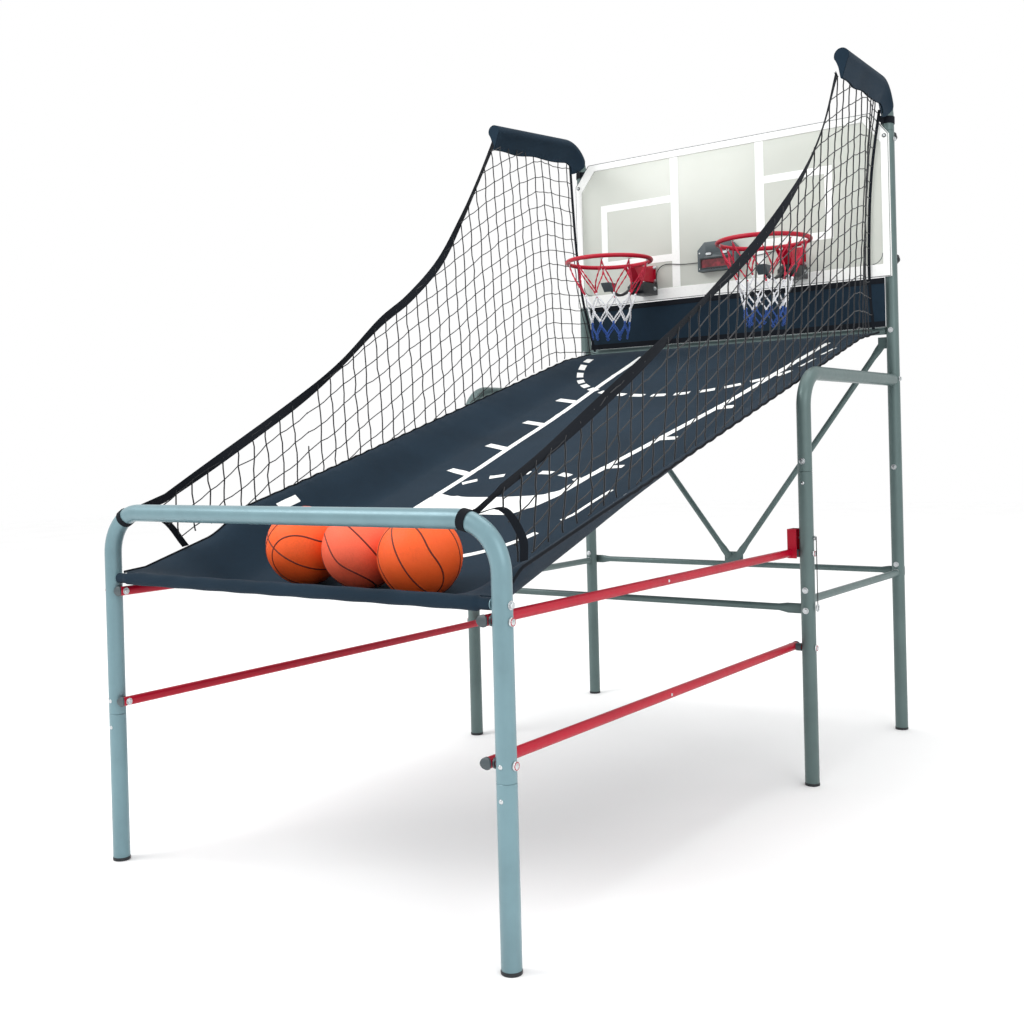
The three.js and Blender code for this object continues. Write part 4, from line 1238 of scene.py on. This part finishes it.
def ramp_print(pairs):
    """White print between two lines, given as pairs of (x, y) points across it."""
    lift = 0.0013
    rails = []
    for (a0, b0), (a1, b1) in zip(pairs, pairs[1:]):
        span = max((Vector(a1) - Vector(a0)).length, (Vector(b1) - Vector(b0)).length)
        count = max(1, math.ceil(span / 0.008))
        for k in range(count):
            t = k / count
            rails.append((Vector(a0).lerp(Vector(a1), t), Vector(b0).lerp(Vector(b1), t)))
    rails.append((Vector(pairs[-1][0]), Vector(pairs[-1][1])))
    widest = max((a - b).length for a, b in rails)
    us = between(0.0, 1.0, max(2, math.ceil(widest / 0.008)))
    def surface(u, v):
        a, b = rails[v]
        at = a.lerp(b, u)
        return ramp_surface(at.x, at.y) + Vector((0, 0, lift))
    return cloth(surface, us, range(len(rails)), 0.0005)


def stroke(points, width):
    """Pairs along a centre line."""
    points = [Vector(p) for p in points]
    pairs = []
    for i, p in enumerate(points):
        along = heading(points, i)
        side = Vector((-along.y, along.x)) * (width / 2)
        pairs.append((tuple(p + side), tuple(p - side)))
    return pairs


def arc(centre, radius, first, last, count):
    """Points along an arc, given by angles in degrees."""
    angles = [math.radians(a) for a in between(first, last, count)]
    return [(centre[0] + radius * math.cos(a), centre[1] + radius * math.sin(a)) for a in angles]


def arc_dashes(centre, radius, first, last, dash, pitch, width):
    """Dashes along an arc, given by angles in degrees."""
    step = math.degrees(pitch / radius)
    reach = math.degrees(dash / radius) / 2
    dashes = []
    angle = first
    while angle <= last:
        dashes.append(stroke(arc(centre, radius, angle - reach, angle + reach, 4), width))
        angle += step
    return dashes


def court_prints():
    """Court marks on the ramp, as pairs of points across each mark."""
    left = [(-0.211, -0.30), (-0.215, -0.11), (-0.226, 0.20), (-0.243, 0.50), (-0.258, 0.72),
            (-0.274, 0.93)]
    right = [(0.180, -0.18), (0.203, -0.08), (0.232, 0.04), (0.268, 0.20), (0.306, 0.38), (0.342, 0.58),
             (0.372, 0.76), (0.396, 0.93)]
    marks = [stroke(left, 0.020), stroke(right, 0.020)]
    for y in (-0.150, 0.040, 0.245, 0.450):
        x = along_line([(b, a) for a, b in left], y)
        marks.append(stroke([(x, y), (x - 0.095, y + 0.036)], 0.022))
    for y in (-0.112, 0.090, 0.330):
        x = along_line([(b, a) for a, b in right], y)
        marks.append(stroke([(x, y), (x + 0.050, y + 0.006)], 0.022))
    marks.append([((-0.221, -0.31), (-0.201, -0.288)), ((-0.221, -0.40), (-0.160, -0.302)),
                  ((-0.120, -0.408), (-0.100, -0.307)), ((0.0, -0.412), (0.0, -0.304)),
                  ((0.100, -0.412), (0.085, -0.296)), ((0.145, -0.368), (0.130, -0.288)),
                  ((0.174, -0.300), (0.156, -0.262)), ((0.185, -0.230), (0.163, -0.205)),
                  ((0.191, -0.185), (0.171, -0.170))])
    key, key_r = (0.0, -0.405), 0.268
    marks += arc_dashes(key, key_r, 51.3, 140, 0.041, 0.074, 0.020)
    marks += arc_dashes((0.03, 0.98), 0.50, 192, 332, 0.048, 0.076, 0.022)
    marks.append(stroke(arc(key, key_r, -22, -158, 24), 0.018))
    strip = [(0.272, -0.44), (0.286, -0.41), (0.294, -0.34), (0.304, -0.262)]
    marks.append(stroke(strip, 0.010))
    marks.append(stroke([(0.483, -0.60), (0.483, -0.48)], 0.018))
    marks.append(stroke([(-0.483, -0.603), (-0.483, -0.535)], 0.020))
    return marks


REAR_BLEND = ("rear_frame", "upper_rails", (0, 0.3, 1.3), (0, -0.3, 0.9))
FRONT_BLEND = ("upper_rails", "front_frame", (0, -0.47, 0.8), (0, -0.70, 0.8))


def bend_with(piece):
    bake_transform(piece)


def add_ramp():
    columns = ramp_columns()
    rear_rows = between(CUT_Y, RAMP_BACK, 90)
    front_rows = between(RAMP_FRONT, CUT_Y, 60)
    rear = make("ramp_cloth_rear", cloth(ramp_surface, columns, rear_rows, CLOTH_T), "fabric_navy",
                stands_for=["ramp_sheet"], sharp=60)
    front = make("ramp_cloth_front", cloth(ramp_surface, columns, front_rows, CLOTH_T),
                 "fabric_navy", sharp=60)
    prints = {"rear": [], "front": []}
    for mark in court_prints():
        behind = min(p[1] for pair in mark for p in pair) >= CUT_Y
        prints["rear" if behind else "front"].append(ramp_print(mark))
    rear_print = make("ramp_print_rear", joined(prints["rear"]), "board_white")
    front_print = make("ramp_print_front", joined(prints["front"]), "board_white")
    for piece, blend in ((rear, REAR_BLEND), (rear_print, REAR_BLEND), (front, FRONT_BLEND),
                         (front_print, FRONT_BLEND)):
        bend_with(piece)
    half_way = 0.1
    width = path_length([ramp_surface(x, half_way) for x in columns])
    for piece, rows in ((rear, rear_rows), (front, front_rows)):
        length = path_length([ramp_surface(0, y) for y in rows])


# ---- nets --------------------------------------------------------------------------------
FRONT_EDGE = {                   # free front edge of either net, as (y, z)
    -1: [(-0.933, 0.822), (-0.725, 0.927), (-0.470, 1.061), (-0.306, 1.161), (-0.125, 1.292),
         (0.018, 1.378), (0.176, 1.502), (0.309, 1.660), (0.411, 1.796), (0.491, 1.908), (0.512, 1.938)],
    1: [(-1.011, 0.845), (-0.819, 0.932), (-0.518, 1.087), (-0.249, 1.235), (0.067, 1.421),
        (0.308, 1.608), (0.450, 1.767), (0.532, 1.920), (0.542, 1.938)],
}
REAR_STRAP = {                   # rear edge, as (z, x)
    -1: [(1.256, 0.490), (1.357, 0.514), (1.455, 0.537), (1.619, 0.557), (1.779, 0.568), (1.942, 0.576)],
    1: [(1.260, 0.517), (1.430, 0.508), (1.620, 0.513), (1.730, 0.521), (1.820, 0.532), (1.942, 0.552)],
}
NET_BACK = {-1: 0.975, 1: 1.000}
NET_KINK = {-1: 0.850, 1: 0.780}
TAIL = {                         # strap from the front bow down to the ramp's rim, as (y, z)
    -1: [(-0.940, 0.770), (-0.866, 0.703)],
    1: [(-1.000, 0.810), (-0.963, 0.757), (-0.959, 0.713)],
}
NET_TOP_Z = 1.935
BOW_BAND = {-1: 28, 1: 12}       # where a strap goes round the bow, in degrees from its top


def net_x(y, z, s):
    """How far out a side net stands at a place along it."""
    leaning = 0.534 + 0.062 * (z - J_Z)
    strap = along_line(REAR_STRAP[s], z)
    return leaning + (strap - leaning) * eased(y, NET_KINK[s], NET_BACK[s])


def on_net(s, y, z):
    return Vector((s * net_x(y, z, s), y, z))


def net_rise(y):
    """Height of a row of meshes along y, taken from its level stretch."""
    if y >= NET_BEND_Y:
        return 0.0
    steep = 0.55
    flat = 0.36
    growing = 0.38                   # length over which the slope would grow from flat to steep
    change = (steep - flat) / growing
    far = NET_BEND_Y - 0.5           # in front of this the slope is steep
    near = max(y, far)
    part = NET_BEND_Y - near
    rise = flat * part + change * part * part / 2
    return -(rise + steep * (near - y))


def net_floor(y, s):
    rim = ramp_height(RAMP_HALF, y) + 0.004
    tail = TAIL[s]
    if y < tail[0][0]:
        return NET_TOP_Z
    return max(rim, along_line(tail, y)) if y < tail[-1][0] else rim


def net_ceiling(y, s):
    if y > FRONT_EDGE[s][-1][0]:
        return NET_TOP_Z + 0.057 * (y - ARM_TIP[1])
    return along_line(FRONT_EDGE[s], y)


def net_knot(column, row):
    y = -1.0 + NET_PITCH * column
    z = 1.2 + NET_ROW * row + net_rise(y)
    loose = 0.0036 + 0.0024 * eased(-y, 0.0, 0.9)
    y += loose * wobble(column, row, 1)
    z += loose * wobble(column, row, 2)
    return y, z


def net_strands(s):
    """Broken lines of all meshes of one side net: (y, z) points, clipped to its edges."""
    lines = []
    columns = range(0, 41)
    rows = range(-26, 20)
    back = NET_BACK[s]
    for column in columns:
        y = -1.0 + NET_PITCH * column
        low, high = net_floor(y, s), net_ceiling(y, s)
        if y > back - 0.008 or low > high - 0.010:
            continue
        inside = [net_knot(column, row) for row in rows]
        inside = [p for p in inside if low + 0.008 < p[1] < high - 0.008]
        lines.append([(y, low), *inside, (y, high)])
    for row in rows:
        line = []
        for column in columns:
            y, z = net_knot(column, row)
            if y < back - 0.002 and net_floor(y, s) < z < net_ceiling(y, s):
                if not line and column > 0:
                    line.append(net_edge_point(net_knot(column - 1, row), (y, z), s))
                line.append((y, z))
            elif line:
                line.append(net_edge_point((y, z), line[-1], s))
                lines.append(line)
                line = []
        if line:
            lines.append(line)
    return [line for line in lines if len(line) > 1]


def net_edge_point(outside, inside, s):
    """Where a strand between two places meets the edge of the net."""
    out, good = Vector(outside), Vector(inside)
    for _ in range(12):
        middle = (out + good) / 2
        if net_floor(middle.x, s) < middle.y < net_ceiling(middle.x, s) and middle.x < NET_BACK[s]:
            good = middle
        else:
            out = middle
    return tuple(good)


def split_line(line, limit):
    """A strand's parts behind and in front of the cut, both ending on it."""
    behind, ahead = [], []
    for a, b in zip(line, line[1:]):
        (behind if a[0] >= limit else ahead).append(a)
        if (a[0] - limit) * (b[0] - limit) < 0:
            t = (limit - a[0]) / (b[0] - a[0])
            at = (limit, a[1] + (b[1] - a[1]) * t)
            behind.append(at)
            ahead.append(at)
    (behind if line[-1][0] >= limit else ahead).append(line[-1])
    return behind, ahead


def net_path(s, line, seed):
    """Points in space of a strand, with a little slack between its knots."""
    path = []
    for i, (a, b) in enumerate(zip(line, line[1:])):
        path.append(on_net(s, *a))
        middle = ((a[0] + b[0]) / 2, (a[1] + b[1]) / 2)
        if math.dist(a, b) > 0.02:
            sag = (0.0024 + 0.002 * eased(-a[0], 0.0, 0.9)) * wobble(seed, i, 3)
            y, z = middle[0] + sag, middle[1] + sag - 0.001
            path.append(Vector((s * net_x(y, z, s) + 0.0015 * wobble(seed, i, 4), y, z)))
    path.append(on_net(s, *line[-1]))
    return path


def net_tie(at):
    """Small knot where two strands cross."""
    arms = [Vector((0.0024, 0, 0)), Vector((0, 0.0028, 0)), Vector((0, 0, 0.0030))]
    verts = [at + arm * sign for arm in arms for sign in (-1, 1)]
    faces = [[a, b, c] for a in (0, 1) for b in (2, 3) for c in (4, 5)]
    return verts, faces


def add_side_nets():
    for side, s in SIDES:
        parts = {"rear": [], "front": []}
        for seed, line in enumerate(net_strands(s)):
            upright_line = abs(line[0][0] - line[-1][0]) < 0.03
            thick = 0.0019 if upright_line else 0.0015
            behind, ahead = split_line(line, CUT_Y)
            for key, part in (("rear", behind), ("front", ahead)):
                if len(part) > 1:
                    parts[key].append(tube(net_path(s, part, seed), thick, 5))
                if upright_line:
                    parts[key] += [net_tie(on_net(s, y, z)) for y, z in part[1:-1]]
        for key, blend in (("rear", REAR_BLEND), ("front", FRONT_BLEND)):
            net = make(f"net_mesh_{key}_{side}", joined(parts[key]), "net_black",
                       stands_for=[f"side_net_{side}"] if key == "rear" else [], sharp=80)
            bend_with(net)
        add_net_straps(side, s)


def edge_points(s, line):
    return [on_net(s, y, z) for y, z in line]


def bow_point(s, out):
    """Place where the net strap ends on the front bow's bend, so far out from the centre line."""
    a = math.radians(BOW_BAND[s])
    centre = Vector((s * (FRONT_X - BEND_R + BEND_R * math.sin(a)), FRONT_Y,
                     BOW_Z - BEND_R + BEND_R * math.cos(a)))
    away = Vector((s * math.sin(a) * 0.4, 0.9, math.cos(a) * 0.4)).normalized()
    return centre + away * out


def strap_flats(points, s):
    """Direction across a strap that lies in the net, with a slow twist."""
    flats = []
    for i, p in enumerate(points):
        along = heading(points, i)
        out = Vector((s, 0, 0))
        across = along.cross(out).normalized()
        twist = 0.45 * math.sin(p.y * 9 + 1.0)
        flats.append(across * math.cos(twist) + out * math.sin(twist))
    return flats


def add_net_straps(side, s):
    """Webbing along the free edges of a side net, and round the front bow."""
    front = smooth_path([Vector((y, z, 0)) for y, z in FRONT_EDGE[s]], 8)
    line = [(p.x, p.y) for p in front]
    behind, ahead = split_line(line, CUT_Y)
    end = smooth_path([bow_point(s, 0.0190), bow_point(s, 0.0206) + Vector((0, 0.008, 0.004)),
                       *edge_points(s, ahead[:1])], 6)[:-1]
    for key, part, lead, blend in (("rear", behind, [], REAR_BLEND), ("front", ahead, end, FRONT_BLEND)):
        points = lead + edge_points(s, part)
        strap = make(f"net_strap_{key}_{side}", ribbon(points, strap_flats(points, s), 0.024, STRAP_T),
                     "webbing", sharp=60)
        bend_with(strap)
    rear_points = smooth_path([(s * (x + 0.001), NET_BACK[s], z) for z, x in REAR_STRAP[s]], 6)
    flats = [(1, 0.35, 0)] * len(rear_points)
    make(f"net_rear_strap_{side}", ribbon(rear_points, flats, 0.009, STRAP_T), "webbing",
         "rear_frame", sharp=60)
    for key, rows, blend in (("rear", between(CUT_Y, RAMP_BACK, 160), REAR_BLEND),
                             ("front", between(RAMP_FRONT, CUT_Y, 60), FRONT_BLEND)):
        hem = [ramp_surface(s * RAMP_HALF, y) + Vector((s * 0.001, 0, 0.001)) for y in rows]
        piece = make(f"ramp_hem_{key}_{side}", tube(hem, 0.0032, 10), "webbing", sharp=60)
        bend_with(piece)
    a = math.radians(BOW_BAND[s])
    band = 0.007 if s < 0 else 0.009
    ties = [turned(collar(0.0192, 0.0208, -band, band), bow_point(s, 0.0),
                   (s * math.cos(a), 0, -math.sin(a)), 40)]
    tail = [(s * 0.530, y, z) for y, z in TAIL[s]]
    tail = smooth_path([bow_point(s, 0.0195), (s * 0.515, *TAIL[s][0]), *tail[1:]], 6)
    ties.append(ribbon(tail, [(0.5, 0.6, 0.2)] * len(tail), 0.016, STRAP_T))
    make(f"front_ties_{side}", joined(ties), "webbing", "front_frame", bevel=0.0003)


# ---- sleeves and apron -------------------------------------------------------------------
def add_sleeves():
    """Cloth folded over each net arm, from its tip round its bend and down to the net's edge."""
    fall = math.atan2(ARM_REAR_Z - ARM_TIP_Z, REAR_Y - ARM_TIP[1])
    bend_y = REAR_Y - ARM_BEND_R
    bend_z = ARM_REAR_Z - ARM_BEND_R * math.tan(fall) - ARM_BEND_R / math.cos(fall)
    first_y = bend_y - ARM_BEND_R * math.sin(fall)
    lean = (ARM_TIP[0] - REAR_X) / (REAR_Y - ARM_TIP[1])
    turning = 0.11                   # length of the stretch round the bend
    radius = 0.0212
    wrap = 0.62                      # share of either half that lies round the arm; the rest hangs
    for side, s in SIDES:
        def section(u, v):
            """Place across the fold: sideways, and up from the arm; u is 0 on top, 1 at a hem."""
            hang = 0.064 + 0.0030 * math.sin(v * 31)
            turn = u * math.pi
            if abs(u) <= wrap:
                return radius * math.sin(turn), radius * math.cos(turn)
            share = (abs(u) - wrap) / (1 - wrap)
            start_x = radius * math.sin(wrap * math.pi)
            start_z = radius * math.cos(wrap * math.pi)
            x = (start_x + (0.0022 - start_x) * share ** 0.7) * (1 if u > 0 else -1)
            x += 0.0016 * math.sin(v * 47 + share * 5) * share
            return x, start_z + (-hang - start_z) * share
        def surface(u, v):
            """v runs along y as far as the bend, and then round it."""
            x, up = section(u, v)
            share = max(0.0, (v - first_y) / turning)
            last = math.radians(40 + 49 * abs(u))
            a = -fall + share * (last + fall)
            y = bend_y + (ARM_BEND_R + up) * math.sin(a)
            z = bend_z + (ARM_BEND_R + up) * math.cos(a)
            back = min(0.0, v - first_y)
            y += back * math.cos(fall)
            z += back * math.sin(fall)
            return Vector((s * (REAR_X + lean * (REAR_Y - y)) + x, y, z))
        tip = ARM_TIP[1] - 0.006
        rows = between(tip, first_y, 44) + between(first_y, first_y + turning, 24)[1:]
        columns = between(-1, 1, 40)
        wall = [(p.x, p.z) for p in (surface(u, tip + 0.002) for u in columns)]
        closed = prism(wall, upright(tip), CLOTH_T)
        shape = joined([cloth(surface, columns, rows, CLOTH_T), closed])
        sleeve = make(f"sleeve_{side}", shape, "fabric_navy", "rear_frame", [f"arm_sleeve_{side}"],
                      sharp=60)
        width = path_length([surface(u, 0.7) for u in columns])
        strap = turned(collar(0.0194, 0.0212, -0.011, 0.011), (s * REAR_X, REAR_Y, 1.912),
                       (0, 0.06, 1), 40)
        tie = ribbon([(s * 0.552, 0.985, 1.914), (s * 0.558, 1.005, 1.912), (s * 0.562, 1.0175, 1.912)],
                     [UPWARD] * 3, 0.020, STRAP_T)
        make(f"sleeve_loop_{side}", joined([strap, tie]), "webbing", "rear_frame", bevel=0.0003)


def add_apron():
    lo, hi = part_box("apron")
    lo = lo - Vector((0, 0, 0.006))
    y = (lo.y + hi.y) / 2
    def surface(u, v):
        ripple = 0.0010 * math.sin(u * 23) + 0.0008 * math.sin(u * 51 + v * 12)
        return Vector((u, y + ripple * math.sin(math.pi * (v - lo.z) / (hi.z - lo.z)), v))
    sheet = cloth(surface, between(lo.x, hi.x, 120), between(lo.z, hi.z, 20), CLOTH_T)
    apron = make("apron_cloth", sheet, "fabric_navy", "rear_frame", ["apron"], sharp=60)
    hems = [slab(lo.x, hi.x, y - 0.0022, y - 0.0010, z - 0.009, z + 0.009)
            for z in (lo.z + 0.009, hi.z - 0.009)]
    make("apron_hems", joined(hems), "webbing", "rear_frame", bevel=0.0003)


def add_tray_sleeve():
    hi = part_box("tray_sleeve")[1]
    reach = hi.x + 0.027
    slack, snug = 0.0134, 0.0107     # radius along the bar, and at the cloth's ends
    def surface(u, v):
        loose = slack + 0.0005 * math.sin(v * 60 + u * 2)
        radius = loose + (snug - loose) * eased(abs(v), hi.x - 0.004, hi.x)
        return Vector((v, FRONT_Y + radius * math.cos(u), TRAY_Z + radius * math.sin(u)))
    columns = between(math.radians(50), math.radians(400), 36)
    rows = between(-reach, reach, 160)
    sleeve = make("tray_cloth", cloth(surface, columns, rows, 0.0010), "fabric_navy", "front_frame",
                  ["tray_sleeve"], sharp=60)


# ---- balls -------------------------------------------------------------------------------
def ball_shape(centre, radius):
    """Sphere from a subdivided cube, so that its faces are even."""
    steps = 40
    verts, faces = [], []
    for axis in range(3):
        for sign in (-1, 1):
            start = len(verts)
            for j in range(steps + 1):
                for i in range(steps + 1):
                    a = math.tan((i / steps - 0.5) * math.pi / 2)
                    b = math.tan((j / steps - 0.5) * math.pi / 2)
                    point = [0.0, 0.0, 0.0]
                    point[axis] = float(sign)
                    point[(axis + 1) % 3] = a
                    point[(axis + 2) % 3] = b * sign
                    verts.append(centre + Vector(point).normalized() * radius)
            for j in range(steps):
                for i in range(steps):
                    a = start + j * (steps + 1) + i
                    faces.append([a, a + 1, a + steps + 2, a + steps + 1])
    return verts, faces


def seam_lines():
    """The seams of a ball as directions: two great circles and a loop on either side."""
    ring = between(0, math.tau, 96)[:-1]
    lines = [[Vector((math.cos(a), math.sin(a), 0)) for a in ring],
             [Vector((math.cos(a), 0, math.sin(a))) for a in ring]]
    for sign in (-1, 1):
        loop = []
        for a in ring:
            z = sign * (0.58 - 0.17 * math.cos(2 * a))
            flat = math.sqrt(1 - z * z)
            loop.append(Vector((flat * math.cos(a), z, flat * math.sin(a))))
        lines.append(loop)
    return lines


BALL_TURNS = {"left": (0.55, 0.25, 1.10), "middle": (1.05, 0.75, 0.30), "right": (0.30, 1.05, 0.55)}


def add_balls():
    for place in BALLS:
        lo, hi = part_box(f"ball_{place}")
        centre = (lo + hi) / 2
        radius = (hi.z - lo.z) / 2
        look = "ball_salmon" if place == "middle" else "ball_orange"
        body = f"ball_{place}"
        cover = make(f"cover_{place}", ball_shape(centre, radius - 0.0004), look, body, [f"ball_{place}"])
        clean(cover.data, 0.00001)
        turn = Matrix.Identity(3)
        for angle, axis in zip(BALL_TURNS[place], "XYZ"):
            turn = Matrix.Rotation(angle, 3, axis) @ turn
        seams = [tube([centre + (turn @ p) * (radius - 0.0014) for p in line], 0.0021, 8, closed=True)
                 for line in seam_lines()]
        make(f"seams_{place}", joined(seams), "ball_seam", body, sharp=60)


# ---- floor and light ---------------------------------------------------------------------
def add_stage():
    mesh = bpy.data.meshes.new("floor")
    reach = 14.0
    corners = ((-reach, -reach), (reach, -reach), (reach, reach), (-reach, reach))
    mesh.from_pydata([(x, y, -0.0005) for x, y in corners], [], [[0, 1, 2, 3]])
    floor_look = Look("floor_pale", Roughness=0.85)
    floor_look.colours(floor_look.noise(2.0, 3.0), (0.3, tone(252, 252, 252)), (0.7, tone(255, 255, 255)))
    mesh.materials.append(floor_look.material)
    add_object("floor", mesh)


def add_light(name, place, target, size, power):
    data = bpy.data.lights.new(name, "AREA")
    data.shape = "SQUARE"
    data.size = size
    data.energy = power
    light = add_object(name, data)
    light.location = place
    light.rotation_euler = (Vector(target) - Vector(place)).to_track_quat("-Z", "Y").to_euler()


def add_lights():
    world = bpy.data.worlds.new("studio")
    world.use_nodes = True
    world.node_tree.nodes["Background"].inputs["Color"].default_value = (1.0, 1.0, 1.0, 1.0)
    world.node_tree.nodes["Background"].inputs["Strength"].default_value = 1.0
    bpy.context.scene.world = world
    bpy.context.scene.view_settings.view_transform = "Standard"
    middle = (0.0, 0.0, 1.0)
    add_light("key_light", (-2.6, -3.2, 4.2), middle, 2.4, 120)
    add_light("fill_light", (3.6, -2.0, 2.6), middle, 2.6, 45)
    add_light("top_light", (0.2, 0.6, 4.6), middle, 3.0, 60)


make_camera()
add_leads()
add_lanyards()
add_rear_frame()
add_front_frame()
add_rails()
add_hardware()
add_board()
add_hoops()
add_score_unit()
add_ramp()
add_side_nets()
add_sleeves()
add_apron()
add_tray_sleeve()
add_balls()
add_stage()
add_lights()
